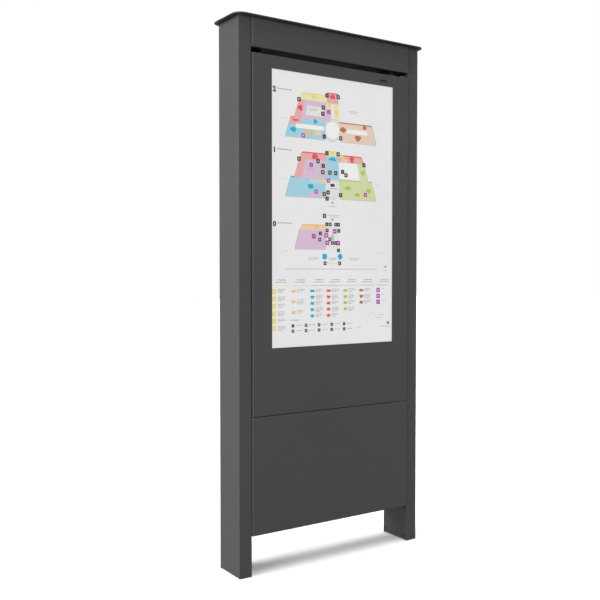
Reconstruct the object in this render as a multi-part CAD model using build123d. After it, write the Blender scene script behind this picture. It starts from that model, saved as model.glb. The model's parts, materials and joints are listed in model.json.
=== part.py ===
from build123d import *
import math
import os

os.makedirs("parts", exist_ok=True)

# A free-standing touchscreen kiosk on two legs: folded steel posts, a glazed front door that carries the
# display, a full-height rear service door, and the equipment between them. Millimetres, +Z up, the front
# faces -Y. The origin is on the floor, in the middle of the footprint.

# ---- driving dimensions ----
POST_HEIGHT = 2140.0
BODY_WIDTH = 892.0
BODY_DEPTH = 154.0
POST_WIDTH = 56.0
PANEL_PROUD = 6.0
CAP_THICKNESS = 4.0
CAP_OVERHANG = 20.0
CAP_CORNER_RADIUS = 38.0
LEG_OPENING_HEIGHT = 157.0
DOOR_BOTTOM = 618.2
DOOR_TOP = 2007.0
HEADER_BOTTOM = 2028.0
SCREEN_WIDTH = 603.0
SCREEN_HEIGHT = 1077.0
SCREEN_BOTTOM = 880.0

# ---- sheet, gaps and folds ----
POST_SHEET = 3.0
SHEET = 2.0
REAR_SHEET = 1.5
FOLD_RADIUS = 2.5
POST_EDGE_RADIUS = 2.5
RETURN_DEPTH = 20.0
DOOR_SIDE_GAP = 2.5
PANEL_SIDE_GAP = 1.0
SEAM_GAP = 2.4
WEB_RELIEF = 5.0
LIP_DEPTH = 20.0

# ---- screws: M5 and M6, as shank radii ----
M5 = 2.5
M6 = 3.0
THREAD_FIT = 0.05
HOLE_CLEARANCE = 0.25
FOOT_SCREW_LENGTH = 10.0
FIXING_SCREW_LENGTH = 14.0
CAP_SCREW_LENGTH = 8.8
CAP_BLIND_HOLE = 3.0

# ---- places worked out from them ----
HALF_WIDTH = BODY_WIDTH / 2
HALF_DEPTH = BODY_DEPTH / 2
POST_INNER = HALF_WIDTH - POST_WIDTH
WEB_INNER = HALF_WIDTH - POST_SHEET
LIP_INNER = POST_INNER + POST_SHEET
FLANGE_INNER = HALF_DEPTH - POST_SHEET
FRONT_FACE = -(HALF_DEPTH + PANEL_PROUD)
DOOR_HALF = POST_INNER - DOOR_SIDE_GAP
PANEL_HALF = POST_INNER - PANEL_SIDE_GAP
RETURN_END = FRONT_FACE + RETURN_DEPTH
SCREEN_TOP = SCREEN_BOTTOM + SCREEN_HEIGHT
SCREEN_MIDDLE = SCREEN_BOTTOM + SCREEN_HEIGHT / 2
LOWER_PANEL_TOP = DOOR_BOTTOM - SEAM_GAP
REAR_DOOR_BOTTOM = LEG_OPENING_HEIGHT + 1.0
CUT = 1.0
HEADER_FIXING_HEIGHTS = (HEADER_BOTTOM + 22.0, POST_HEIGHT - 25.0)
LOWER_FIXING_HEIGHTS = (190.0, 386.0, 582.0)
FIXING_Y = RETURN_END - 5.0
HEAD_PLATE_THICKNESS = 6.0
HEAD_PLATE_BOTTOM = POST_HEIGHT - HEAD_PLATE_THICKNESS
CAP_SCREW_Y = 45.0
CAP_EDGE_RADIUS = 0.8
TRAY_BOTTOM = LEG_OPENING_HEIGHT + 3.0
TRAY_HALF_DEPTH = 55.0
TRAY_NOTCH = {"half_width": 20.0, "front": 15.0}
TRAY_SLOT = {"length": 26.0, "width": 6.0, "y": -43.0, "pitch": 40, "last": 280}

# ---- pivots, stops and latches ----
PIVOT_INSET = 22.0
PIVOT_SETBACK = 10.0
PIVOT_X = DOOR_HALF - PIVOT_INSET
PIVOT_Y = FRONT_FACE + PIVOT_SETBACK
PIN_RADIUS = 4.0
BUSH_BORE = PIN_RADIUS + 0.05
BUSH_RADIUS = 6.0
BUSH_LENGTH = 8.0
COLLAR_RADIUS = 9.0
COLLAR_THICKNESS = 1.4
TONGUE_THICKNESS = 5.0
TONGUE_HALF = 16.0
TONGUE_NOSE = 7.0
PIVOT_RUN_GAP = 0.2
STOP_WIDTH = 22.0
STOP_FACE = RETURN_END + 3.0
STOP_THICKNESS = 2.0
STOP_END_GAP = 7.0
SEAL_CLEARANCE = 0.3
SEAL_INSET = 1.0
SEAL_WIDTH = 13.0
SEAL_EDGE_RADIUS = 1.2
LATCH_X = -(DOOR_HALF - 40.0)
CAM_LENGTH = 36.0
CAM_WIDTH = 14.0
CAM_THICKNESS = 3.0
CAM_GAP = 0.5
CAM_FACE = STOP_FACE + STOP_THICKNESS + CAM_GAP
CAM_TIP_RADIUS = 3.0
HUB_RADIUS = 9.0
SPINDLE_RADIUS = 5.0
LATCH_FOOT = {"half_width": 15.0, "half_height": 20.0, "thickness": 3.0}
LATCH_BOSS_RADIUS = 10.0
WING = {"half_thickness": 3.0, "half_height": 15.0, "reach": 14.0}
LOCK_FACE = FRONT_FACE - 2.0
LOCK_FLANGE_RADIUS = 13.0
LOCK_TUBE_RADIUS = 9.4
LOCK_NUT = {"radius": 14.0, "thickness": 5.0}
BARREL_RADIUS = 7.0
KEYWAY = {"half_width": 0.9, "half_height": 4.5, "depth": 6.0}
FRONT_LATCH_HEIGHTS = {"lower": 1000.0, "upper": 1640.0}
REAR_LOCK_HEIGHTS = {"lower": 500.0, "upper": 1640.0}

# ---- frame rails ----
UPPER_RAIL = {"depth": (-25.0, 25.0), "height": (2040.0, 2080.0)}
MIDDLE_RAIL = {"depth": (-55.0, -25.0), "height": (565.0, 605.0)}
LOWER_RAIL = {"depth": (-30.0, 45.0), "height": (165.0, 205.0)}
RAIL_WALL = 2.0

# ---- feet ----
BASE_THICKNESS = 8.0
ANCHOR_HOLE_RADIUS = 7.0
ANCHOR_HALF_SPACING = 50.0
CABLE_HOLE_RADIUS = 15.0
FOOT_MIDDLE = (WEB_INNER + LIP_INNER) / 2
FOOT_COVER_BOTTOM = 5.3
FOOT_COVER_TOP = 160.0
FOOT_COVER_HALF = FLANGE_INNER - 3.0
FOOT_SCREW_HEIGHTS = (20.3, 145.0)
FOOT_SCREW_Y = 65.5
FOOT_TAB_THICKNESS = 4.0
FOOT_TAB_INNER_Y = 59.0
BASE_SIDE_GAP = 0.5
UPPER_TONGUE = DOOR_TOP + COLLAR_THICKNESS + PIVOT_RUN_GAP
TONGUE_DROP = COLLAR_THICKNESS + PIVOT_RUN_GAP + TONGUE_THICKNESS
FRONT_LOWER_TONGUE = DOOR_BOTTOM - TONGUE_DROP
REAR_LOWER_TONGUE = REAR_DOOR_BOTTOM - TONGUE_DROP
REAR_PACKER = {"front": -45.0, "back": -20.0}
BRACKET_LEG_INSET = 6.0
PIN_PAST_BUSH = 2.0
REAR_STOP_BOTTOM = FOOT_COVER_TOP + 50.0

# ---- display on the front door ----
TAPE_THICKNESS = 0.8
TAPE_SETBACK = 1.0
GLASS_THICKNESS = 4.0
GLASS_MARGIN = 14.5
GLASS_TOP_MARGIN = 9.5
AIR_GAP = 0.6
DISPLAY_WIDTH = 628.0
DISPLAY_HEIGHT = 1102.0
DISPLAY_THICKNESS = 12.0
GLASS_FACE = FRONT_FACE + SHEET + TAPE_THICKNESS
GLASS_BACK = GLASS_FACE + GLASS_THICKNESS
DISPLAY_FACE = GLASS_BACK + AIR_GAP
DISPLAY_BACK = DISPLAY_FACE + DISPLAY_THICKNESS
CHASSIS_HALF = 297.0
CHASSIS_DEPTH = 19.0
CHASSIS_LOW = 885.0
CHASSIS_HIGH = 1945.0
CHASSIS_EDGE_RADIUS = 3.0
CHASSIS_SLOT = {"length": 60.0, "width": 5.0, "pitch": 80.0, "rise": 20.0}
CHASSIS_SLOT_FIELDS = (1020.0, 1740.0)
RAIL_SHEET = 2.5
RAIL_SIDE_GAP = 0.8
RAIL_FOOT = 14.0
HOOK_GAP = 2.0
BOARD_THICKNESS = 1.6
DRIVER_BOARD = {"x": 0.0, "z": 1400.0, "width": 220.0, "height": 160.0, "standoff": 4.0}
DRIVER_CHIPS = ((-60.0, 30.0, 30.0, 5.0), (20.0, -20.0, 40.0, 4.0), (75.0, 40.0, 18.0, 8.0))
TOUCH_BOARD = {"x": 0.0, "z": 800.0, "width": 120.0, "height": 60.0, "standoff": 3.0}
TOUCH_CHIPS = ((-30.0, 0.0, 16.0, 2.0), (20.0, 5.0, 22.0, 3.0))

# ---- sensor window beside the screen's top corner ----
SENSOR_X = 249.0
SENSOR_Z = 1978.0
SENSOR_LENGTH = 44.0
SENSOR_HEIGHT = 9.0
SENSOR_GAP = 0.1
SENSOR_RECESS = 0.3
SENSOR_RIM = 3.0
SENSOR_RIM_THICKNESS = 2.0

# ---- rear door ----
LOUVRE_COLUMNS = (-160.0, -80.0, 0.0, 80.0, 160.0)
LOUVRE_ROWS = 9
LOUVRE_PITCH = 14.0
LOUVRE_LENGTH = 64.0
LOUVRE_WIDTH = 5.0
LOUVRE_FIELDS = (224.0, 1780.0)
FILTER_HALF = 210.0
FILTER_LOW = 210.0
FILTER_HIGH = 350.0
FILTER_THICKNESS = 8.0
FILTER_FIT = 0.5
FRAME_BORDER = 10.0
FRAME_LIP = 8.0
FRAME_BAR = {"x": 70.0, "half_width": 2.0}
FRAME_BACK = 2.0
STIFFENER = {"x": 230.0, "half_width": 35.0, "half_crown": 15.0, "depth": 12.0, "gap": 30.0}

# ---- fans ----
FAN_X = 150.0
FAN_SIZE = 92.0
FAN_THICKNESS = 25.0
FAN_BOTTOM = 1965.0
FAN_TOP = FAN_BOTTOM + FAN_THICKNESS
FAN_DUCT_RADIUS = 43.5
FAN_TIP_RADIUS = 42.0
FAN_CUP_RADIUS = 19.0
FAN_SHAFT_RADIUS = 2.0
FAN_BLADES = 7
FAN_SPOKES = 4
FAN_CORNER_RADIUS = 5.0
FAN_SCREW_PITCH = 82.5
FAN_SCREW_RADIUS = 2.2
FAN_SPOKE = {"width": 4.0, "thickness": 3.0}
FAN_MOTOR = {"radius": 14.0, "height": 16.0}
FAN_CUP_WALL = 2.0
FAN_CUP = (FAN_BOTTOM + 4.5, FAN_TOP - 2.0)
FAN_BLADE = {"chord": 20.0, "thickness": 1.4, "pitch": 38.0, "root": 1.0}
TRAY_HALF = 330.0
TRAY_DEPTH = 50.0
TRAY_FOOT = {"length": 20.0, "half_depth": 24.0}

# ---- equipment, on a plate between the lower and middle rails ----
PLATE_THICKNESS = 2.5
PLATE_FACE = MIDDLE_RAIL["depth"][1] + PLATE_THICKNESS
CASE_WALL = 1.5
CABLE_Y = 5.0
ROCKER_TILT = 12.0
ROCKER_RADIUS = 12.0
ROCKER_Y = 28.0
ROCKER_Z = 405.0
ISOLATOR = {"x": (-310.0, -180.0), "face": 35.0, "z": (310.0, 500.0)}
SUPPLY = {"x": (-140.0, 60.0), "face": 28.0, "z": (320.0, 500.0)}
PLAYER = {"x": (95.0, 285.0), "face": 20.0, "z": (330.0, 510.0)}
PLATE_FOOT = 20.0
CASE_EDGE_RADIUS = 3.0
SUPPLY_EDGE_RADIUS = 1.2
SUPPLY_SLOT = {"length": 16.0, "width": 5.0, "across": 24, "rise": 12}
SURROUND = {"half_width": 15.0, "half_height": 20.0, "root": 8.0, "proud": 2.0}
POCKET = {"half_width": 10.5, "half_height": 15.0, "floor": 10.0}
ROCKER_HALF = 10.2
ROCKER_PIN = {"radius": 1.5, "half_length": 12.4}
ROCKER_FACE_SLOPE = 8.0
PLAYER_FINS = 14
PLAYER_GROOVE = {"half_width": 3.5, "depth": 9.0}
PLAYER_SOCKETS = (70.0, 100.0, 130.0)
SOCKET = {"half_width": 8.0, "front": -12.0, "back": -2.0, "depth": 8.0}
SUPPLY_CABLE_DIAMETER = 8.0
ARC_SHARE = 0.45
PLAYER_CABLE_DIAMETER = 6.0
GLAND = {"z": 360.0, "nut": 13.0, "nut_length": 6.0, "radius": 9.5, "length": 20.0, "bore": 5.5}

# ---- cable routes, as the corners of their runs ----
SUPPLY_CABLE_ROUTE = (
    (-215, CABLE_Y, ISOLATOR["z"][0]),
    (-215, CABLE_Y, 268),
    (-184, CABLE_Y, 238),
    (-126, CABLE_Y, 236),
    (-88, CABLE_Y, 268),
    (-88, CABLE_Y, SUPPLY["z"][0]),
)
PLAYER_CABLE_ROUTE = (
    (20, CABLE_Y - 8, SUPPLY["z"][0]),
    (20, CABLE_Y - 8, 282),
    (48, CABLE_Y - 6, 252),
    (100, CABLE_Y - 6, 248),
    (132, CABLE_Y - 8, 280),
    (132, CABLE_Y - 8, PLAYER["z"][0]),
)

nodes = {}


# ---- helpers ----
def block(x0, x1, y0, y1, z0, z1):
    """A box between two corners."""
    return Pos((x0 + x1) / 2, (y0 + y1) / 2, (z0 + z1) / 2) * Box(x1 - x0, y1 - y0, z1 - z0)


def rod_z(x, y, z0, z1, radius):
    """An upright cylinder."""
    return Pos(x, y, (z0 + z1) / 2) * Cylinder(radius, z1 - z0)


def rod_y(x, z, y0, y1, radius):
    """A cylinder along Y."""
    return Pos(x, (y0 + y1) / 2, z) * Rot(90, 0, 0) * Cylinder(radius, y1 - y0)


def rod_x(y, z, x0, x1, radius):
    """A cylinder along X."""
    return Pos((x0 + x1) / 2, y, z) * Rot(0, 90, 0) * Cylinder(radius, x1 - x0)


def to_rear(shape):
    """The same thing turned half round, for the back of the kiosk."""
    return Rot(0, 0, 180) * shape


def to_right(shape):
    """The mirrored thing, for the right side."""
    return mirror(shape, about=Plane.YZ)


def group(shapes):
    """Separate identical pieces that share one node."""
    return Compound(children=list(shapes))


def screw(x, y, z, direction, shank_radius, length):
    """A button-head socket screw: its head's seat is at the point and the shank runs along direction."""
    head_radius = 1.9 * shank_radius
    head_height = 1.1 * shank_radius
    crown = 0.6 * head_height
    head = Pos(0, 0, -head_height / 2) * Cylinder(head_radius, head_height)
    head = fillet(head.edges().sort_by(Axis.Z)[0], crown)
    shank = Pos(0, 0, length / 2) * Cylinder(shank_radius, length)
    socket = Pos(0, 0, -head_height) * extrude(RegularPolygon(0.7 * shank_radius, 6), crown)
    return Plane(origin=(x, y, z), z_dir=direction) * (head + shank - socket)


def folded_panel(half_width, z0, z1, sheet):
    """A skin at the front face, folded back into a return along each of its four sides."""
    outer = block(-half_width, half_width, FRONT_FACE, RETURN_END, z0, z1)
    outer = fillet(outer.faces().sort_by(Axis.Y)[0].edges(), FOLD_RADIUS)
    hollow = block(
        -half_width + sheet,
        half_width - sheet,
        FRONT_FACE + sheet,
        RETURN_END + CUT,
        z0 + sheet,
        z1 - sheet,
    )
    hollow = fillet(hollow.faces().sort_by(Axis.Y)[0].edges(), FOLD_RADIUS - sheet)
    return outer - hollow


def rail(places):
    """A box-section cross rail between the two outer webs."""
    y0, y1 = places["depth"]
    z0, z1 = places["height"]
    outer = block(-WEB_INNER, WEB_INNER, y0, y1, z0, z1)
    outer = fillet(outer.edges().filter_by(Axis.X), 2 * RAIL_WALL)
    hollow = block(
        -WEB_INNER - CUT,
        WEB_INNER + CUT,
        y0 + RAIL_WALL,
        y1 - RAIL_WALL,
        z0 + RAIL_WALL,
        z1 - RAIL_WALL,
    )
    return outer - hollow


def slots(places, length, height, y0, y1):
    """Round-ended slots through a sheet that faces along Y."""
    shapes = []
    for x, z in places:
        outline = Plane(origin=(x, y0, z), x_dir=(1, 0, 0), z_dir=(0, 1, 0)) * SlotOverall(length, height)
        shapes.append(extrude(outline, y1 - y0, dir=(0, 1, 0)))
    return shapes


# ---- posts and feet ----
def left_post():
    """A lipped channel folded from one sheet, open towards the cabinet."""
    shell = block(-HALF_WIDTH, -POST_INNER, -HALF_DEPTH, HALF_DEPTH, 0, POST_HEIGHT)
    shell = fillet(shell.edges().filter_by(Axis.Z), POST_EDGE_RADIUS)
    shell -= block(-WEB_INNER, -LIP_INNER, -FLANGE_INNER, FLANGE_INNER, -CUT, POST_HEIGHT + CUT)
    mouth = HALF_DEPTH - LIP_DEPTH
    shell -= block(-LIP_INNER - CUT, -POST_INNER + CUT, -mouth, mouth, -CUT, POST_HEIGHT + CUT)
    foot_top = FOOT_COVER_TOP + 2.0
    shell -= block(-LIP_INNER - CUT, -POST_INNER + CUT, -FLANGE_INNER, FLANGE_INNER, -CUT, foot_top)
    for z0, z1 in ((-CUT, WEB_RELIEF), (POST_HEIGHT - WEB_RELIEF, POST_HEIGHT + CUT)):
        shell -= block(-HALF_WIDTH - CUT, -WEB_INNER + CUT, -FLANGE_INNER, FLANGE_INNER, z0, z1)
    for y, z in panel_fixing_places():
        shell -= rod_x(y, z, -LIP_INNER - CUT, -POST_INNER + CUT, M5 + HOLE_CLEARANCE)
    return shell


def panel_fixing_places():
    """Where screws through the posts' lips hold the header and lower panels: (y, z)."""
    header = [(side * FIXING_Y, z) for side in (1, -1) for z in HEADER_FIXING_HEIGHTS]
    lower = [(FIXING_Y, z) for z in LOWER_FIXING_HEIGHTS]
    return header + lower


def base_plate():
    """The left foot's anchor plate, with two upright tabs that the foot cover screws to."""
    plate = block(-WEB_INNER, -LIP_INNER - BASE_SIDE_GAP, -FLANGE_INNER, FLANGE_INNER, 0, BASE_THICKNESS)
    top = BASE_THICKNESS + CUT
    for y in (-ANCHOR_HALF_SPACING, ANCHOR_HALF_SPACING):
        plate -= rod_z(-FOOT_MIDDLE, y, -CUT, top, ANCHOR_HOLE_RADIUS)
    plate -= rod_z(-FOOT_MIDDLE, 0, -CUT, top, CABLE_HOLE_RADIUS)
    tab_side = -LIP_INNER - FOOT_TAB_THICKNESS
    for side in (-1, 1):
        y0, y1 = sorted((side * FOOT_TAB_INNER_Y, side * FLANGE_INNER))
        tab = block(tab_side, -LIP_INNER, y0, y1, BASE_THICKNESS - 2, FOOT_COVER_TOP)
        for z in FOOT_SCREW_HEIGHTS:
            tab -= rod_x(side * FOOT_SCREW_Y, z, tab_side - CUT, -POST_INNER, M5 + THREAD_FIT)
        plate += tab
    return plate


def foot_cover():
    """The removable plate inside the left foot, over the anchor bolts."""
    half = FOOT_COVER_HALF
    cover = block(-LIP_INNER, -POST_INNER, -half, half, FOOT_COVER_BOTTOM, FOOT_COVER_TOP)
    for y in (-FOOT_SCREW_Y, FOOT_SCREW_Y):
        for z in FOOT_SCREW_HEIGHTS:
            cover -= rod_x(y, z, -LIP_INNER - CUT, -POST_INNER + CUT, M5 + HOLE_CLEARANCE)
    return cover


def foot_screws():
    """Eight screws, four in each foot cover."""
    for hand in (-1, 1):
        for y in (-FOOT_SCREW_Y, FOOT_SCREW_Y):
            for z in FOOT_SCREW_HEIGHTS:
                yield screw(hand * POST_INNER, y, z, (hand, 0, 0), M5, FOOT_SCREW_LENGTH)


nodes["left_post"] = left_post()
nodes["right_post"] = to_right(nodes["left_post"])
nodes["left_base_plate"] = base_plate()
nodes["right_base_plate"] = to_right(nodes["left_base_plate"])
nodes["left_foot_cover"] = foot_cover()
nodes["right_foot_cover"] = to_right(nodes["left_foot_cover"])
nodes["foot_cover_screws"] = group(foot_screws())


# ---- cap ----
def head_plate():
    """The plate welded into the top of the left post, which the cap is screwed to."""
    plate = block(-WEB_INNER, -LIP_INNER, -FLANGE_INNER, FLANGE_INNER, HEAD_PLATE_BOTTOM, POST_HEIGHT)
    for side in (-1, 1):
        plate -= rod_z(-FOOT_MIDDLE, side * CAP_SCREW_Y, 0, POST_HEIGHT + CUT, M6 + HOLE_CLEARANCE)
    return plate


def top_cap():
    """A flat plate with rounded corners that overhangs the posts and panels all round."""
    half_x = HALF_WIDTH + CAP_OVERHANG
    half_y = -FRONT_FACE + CAP_OVERHANG
    plate = block(-half_x, half_x, -half_y, half_y, POST_HEIGHT, POST_HEIGHT + CAP_THICKNESS)
    plate = fillet(plate.edges().filter_by(Axis.Z), CAP_CORNER_RADIUS)
    plate = fillet(plate.faces().sort_by(Axis.Z)[-1].edges(), CAP_EDGE_RADIUS)
    z0, z1 = POST_HEIGHT - CUT, POST_HEIGHT + CAP_BLIND_HOLE
    for x in (-FOOT_MIDDLE, FOOT_MIDDLE):
        for y in (-CAP_SCREW_Y, CAP_SCREW_Y):
            plate -= rod_z(x, y, z0, z1, M6 + THREAD_FIT)
    return plate


def cap_screws():
    """Four screws up through the head plates into the cap."""
    for x in (-FOOT_MIDDLE, FOOT_MIDDLE):
        for y in (-CAP_SCREW_Y, CAP_SCREW_Y):
            yield screw(x, y, HEAD_PLATE_BOTTOM, (0, 0, 1), M6, CAP_SCREW_LENGTH)


nodes["head_plates"] = group([head_plate(), to_right(head_plate())])
nodes["top_cap"] = top_cap()
nodes["cap_screws"] = group(cap_screws())


# ---- fixed panels ----
def fixing_holes(panel, places):
    """Holes for the panel fixings, in both side returns."""
    for y, z in places:
        for hand in (-1, 1):
            x0, x1 = sorted((hand * (PANEL_HALF + CUT), hand * (PANEL_HALF - 2 * SHEET)))
            panel -= rod_x(y, z, x0, x1, M5 + THREAD_FIT)
    return panel


def panel_fixings():
    """Screws from inside the posts into the returns of the header and lower panels."""
    for y, z in panel_fixing_places():
        for hand in (-1, 1):
            yield screw(hand * LIP_INNER, y, z, (-hand, 0, 0), M5, FIXING_SCREW_LENGTH)


def header_panel():
    """The panel above the vent slot."""
    panel = folded_panel(PANEL_HALF, HEADER_BOTTOM, POST_HEIGHT, SHEET)
    return fixing_holes(panel, [(FIXING_Y, z) for z in HEADER_FIXING_HEIGHTS])


def lower_panel():
    """The panel below the door, with a notch in its top return for the door's lower pivot."""
    panel = folded_panel(PANEL_HALF, LEG_OPENING_HEIGHT, LOWER_PANEL_TOP, SHEET)
    panel -= block(
        PIVOT_X - TONGUE_HALF - SHEET,
        PIVOT_X + TONGUE_HALF + SHEET,
        FRONT_FACE + SHEET,
        RETURN_END + CUT,
        LOWER_PANEL_TOP - 2 * SHEET,
        LOWER_PANEL_TOP + CUT,
    )
    return fixing_holes(panel, [(FIXING_Y, z) for z in LOWER_FIXING_HEIGHTS])


def bottom_tray():
    """The sheet that closes the cabinet underneath, slotted for air, notched round the rear door's pivot."""
    top = TRAY_BOTTOM + SHEET
    tray = block(-PANEL_HALF, PANEL_HALF, -TRAY_HALF_DEPTH, TRAY_HALF_DEPTH, TRAY_BOTTOM, top)
    tray -= block(
        -PIVOT_X - TRAY_NOTCH["half_width"],
        -PIVOT_X + TRAY_NOTCH["half_width"],
        TRAY_NOTCH["front"],
        TRAY_HALF_DEPTH + CUT,
        TRAY_BOTTOM - CUT,
        top + CUT,
    )
    slot = Box(TRAY_SLOT["length"], TRAY_SLOT["width"], 2 * SHEET)
    for x in range(-TRAY_SLOT["last"], TRAY_SLOT["last"] + 1, TRAY_SLOT["pitch"]):
        tray -= Pos(x, TRAY_SLOT["y"], TRAY_BOTTOM + SHEET / 2) * slot
    return tray


nodes["header_panel"] = header_panel()
nodes["rear_header_panel"] = to_rear(nodes["header_panel"])
nodes["lower_panel"] = lower_panel()
nodes["panel_fixing_screws"] = group(panel_fixings())
nodes["bottom_tray"] = bottom_tray()

# ---- rails ----
nodes["upper_cross_rail"] = rail(UPPER_RAIL)
nodes["middle_cross_rail"] = rail(MIDDLE_RAIL)
nodes["lower_cross_rail"] = rail(LOWER_RAIL)


# ---- door pivots, stops and seals ----
def pivot_tongue(tongue_bottom, rail_face):
    """The flat arm that reaches from a rail to the pivot, bored for the pin."""
    arm = block(
        PIVOT_X - TONGUE_HALF,
        PIVOT_X + TONGUE_HALF,
        PIVOT_Y - TONGUE_NOSE,
        rail_face,
        tongue_bottom,
        tongue_bottom + TONGUE_THICKNESS,
    )
    arm = fillet(arm.edges().filter_by(Axis.Z).group_by(Axis.Y)[0], TONGUE_NOSE)
    top = tongue_bottom + TONGUE_THICKNESS
    return arm - rod_z(PIVOT_X, PIVOT_Y, tongue_bottom - CUT, top + CUT, PIN_RADIUS)


def pivot_bracket(tongue_bottom, rail_face, upright):
    """A pivot arm with an upright leg welded to the front of its rail."""
    z0, z1 = upright
    leg = block(
        PIVOT_X - TONGUE_HALF,
        PIVOT_X + TONGUE_HALF,
        rail_face - TONGUE_THICKNESS,
        rail_face,
        z0,
        z1,
    )
    return pivot_tongue(tongue_bottom, rail_face) + leg


def lower_rear_bracket():
    """The rear door's lower pivot arm, packed down from the underside of the lower rail."""
    arm = pivot_tongue(REAR_LOWER_TONGUE, REAR_PACKER["back"])
    packer = block(
        PIVOT_X - TONGUE_HALF,
        PIVOT_X + TONGUE_HALF,
        REAR_PACKER["front"],
        REAR_PACKER["back"],
        REAR_LOWER_TONGUE,
        LOWER_RAIL["height"][0],
    )
    return arm + packer


def pivot_pin(end_in_door, far_end):
    """One pivot pin, from inside the door's bush to the far face of its arm."""
    z0, z1 = sorted((end_in_door, far_end))
    return rod_z(PIVOT_X, PIVOT_Y, z0, z1, PIN_RADIUS)


def pivot_pins():
    """Four pins: two for each door."""
    inside = BUSH_LENGTH + PIN_PAST_BUSH
    top = pivot_pin(DOOR_TOP - inside, UPPER_TONGUE + TONGUE_THICKNESS)
    yield top
    yield to_rear(top)
    yield pivot_pin(DOOR_BOTTOM + inside, FRONT_LOWER_TONGUE)
    yield to_rear(pivot_pin(REAR_DOOR_BOTTOM + inside, REAR_LOWER_TONGUE))


def pivot_bushes(bottom, top):
    """The two flanged bushes in a door's top and bottom returns."""
    for edge, inward in ((bottom, 1), (top, -1)):
        z0, z1 = sorted((edge, edge + inward * BUSH_LENGTH))
        bush = rod_z(PIVOT_X, PIVOT_Y, z0, z1, BUSH_RADIUS)
        c0, c1 = sorted((edge, edge - inward * COLLAR_THICKNESS))
        bush += rod_z(PIVOT_X, PIVOT_Y, c0, c1, COLLAR_RADIUS)
        yield bush - rod_z(PIVOT_X, PIVOT_Y, z0 - 2 * CUT, z1 + 2 * CUT, BUSH_BORE)


def door_stop(z0, z1):
    """The strip on the post that the door's free edge closes in front of and the cams turn behind."""
    back = STOP_FACE + STOP_THICKNESS
    return block(-POST_INNER, -POST_INNER + STOP_WIDTH, STOP_FACE, back, z0, z1)


def door_seal(z0, z1):
    """The rubber strip on the face of a door stop."""
    x0 = -POST_INNER + SEAL_INSET
    strip = block(x0, x0 + SEAL_WIDTH, RETURN_END + SEAL_CLEARANCE, STOP_FACE, z0, z1)
    return fillet(strip.edges().filter_by(Axis.Z).group_by(Axis.Y)[0], SEAL_EDGE_RADIUS)


upper_leg = (UPPER_TONGUE, UPPER_RAIL["height"][1] - BRACKET_LEG_INSET)
upper_bracket = pivot_bracket(UPPER_TONGUE, UPPER_RAIL["depth"][0], upper_leg)
lower_leg = (MIDDLE_RAIL["height"][0] + BRACKET_LEG_INSET, FRONT_LOWER_TONGUE)
nodes["upper_pivot_brackets"] = group([upper_bracket, to_rear(upper_bracket)])
nodes["lower_front_pivot_bracket"] = pivot_bracket(FRONT_LOWER_TONGUE, MIDDLE_RAIL["depth"][0], lower_leg)
nodes["lower_rear_pivot_bracket"] = to_rear(lower_rear_bracket())
nodes["pivot_pins"] = group(pivot_pins())
front_stop = (DOOR_BOTTOM + STOP_END_GAP, DOOR_TOP - STOP_END_GAP)
rear_stop = (REAR_STOP_BOTTOM, DOOR_TOP - STOP_END_GAP)
nodes["front_door_stop"] = door_stop(*front_stop)
nodes["front_door_seal"] = door_seal(*front_stop)
nodes["rear_door_stop"] = to_rear(door_stop(*rear_stop))
nodes["rear_door_seal"] = to_rear(door_seal(*rear_stop))


# ---- front door and display ----
def with_pivot_holes(skin, bottom, top):
    """The skin with its two bush holes, in the top and bottom returns."""
    for edge in (bottom, top):
        skin -= rod_z(PIVOT_X, PIVOT_Y, edge - 2 * SHEET, edge + 2 * SHEET, BUSH_RADIUS)
    return skin


def sensor_slot(border, y0, y1):
    """A round-ended bar the size of the sensor's slot, larger all round by border."""
    sizes = (SENSOR_LENGTH + 2 * border, SENSOR_HEIGHT + 2 * border)
    return slots([(SENSOR_X, SENSOR_Z)], *sizes, y0, y1)[0]


def front_door_skin():
    """The front door's folded skin, with the screen's window and the sensor's slot."""
    skin = folded_panel(DOOR_HALF, DOOR_BOTTOM, DOOR_TOP, SHEET)
    skin -= block(
        -SCREEN_WIDTH / 2,
        SCREEN_WIDTH / 2,
        FRONT_FACE - CUT,
        FRONT_FACE + SHEET + CUT,
        SCREEN_BOTTOM,
        SCREEN_TOP,
    )
    skin -= sensor_slot(0, FRONT_FACE - CUT, FRONT_FACE + SHEET + CUT)
    return with_pivot_holes(skin, DOOR_BOTTOM, DOOR_TOP)


def sensor_window():
    """The dark lens of the light and presence sensor, pushed in from behind."""
    inside = FRONT_FACE + SHEET
    lens = sensor_slot(-SENSOR_GAP, FRONT_FACE + SENSOR_RECESS, inside)
    return lens + sensor_slot(SENSOR_RIM, inside, inside + SENSOR_RIM_THICKNESS)


def glass_outline(y0, y1):
    """A slab the size of the cover glass."""
    half = SCREEN_WIDTH / 2 + GLASS_MARGIN
    return block(-half, half, y0, y1, SCREEN_BOTTOM - GLASS_MARGIN, SCREEN_TOP + GLASS_TOP_MARGIN)


def bonding_tape():
    """The foam tape ring between the door skin and the glass."""
    ring = glass_outline(FRONT_FACE + SHEET, GLASS_FACE)
    half = SCREEN_WIDTH / 2 + TAPE_SETBACK
    low, high = SCREEN_BOTTOM - TAPE_SETBACK, SCREEN_TOP + TAPE_SETBACK
    return ring - block(-half, half, FRONT_FACE, GLASS_FACE + CUT, low, high)


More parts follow.
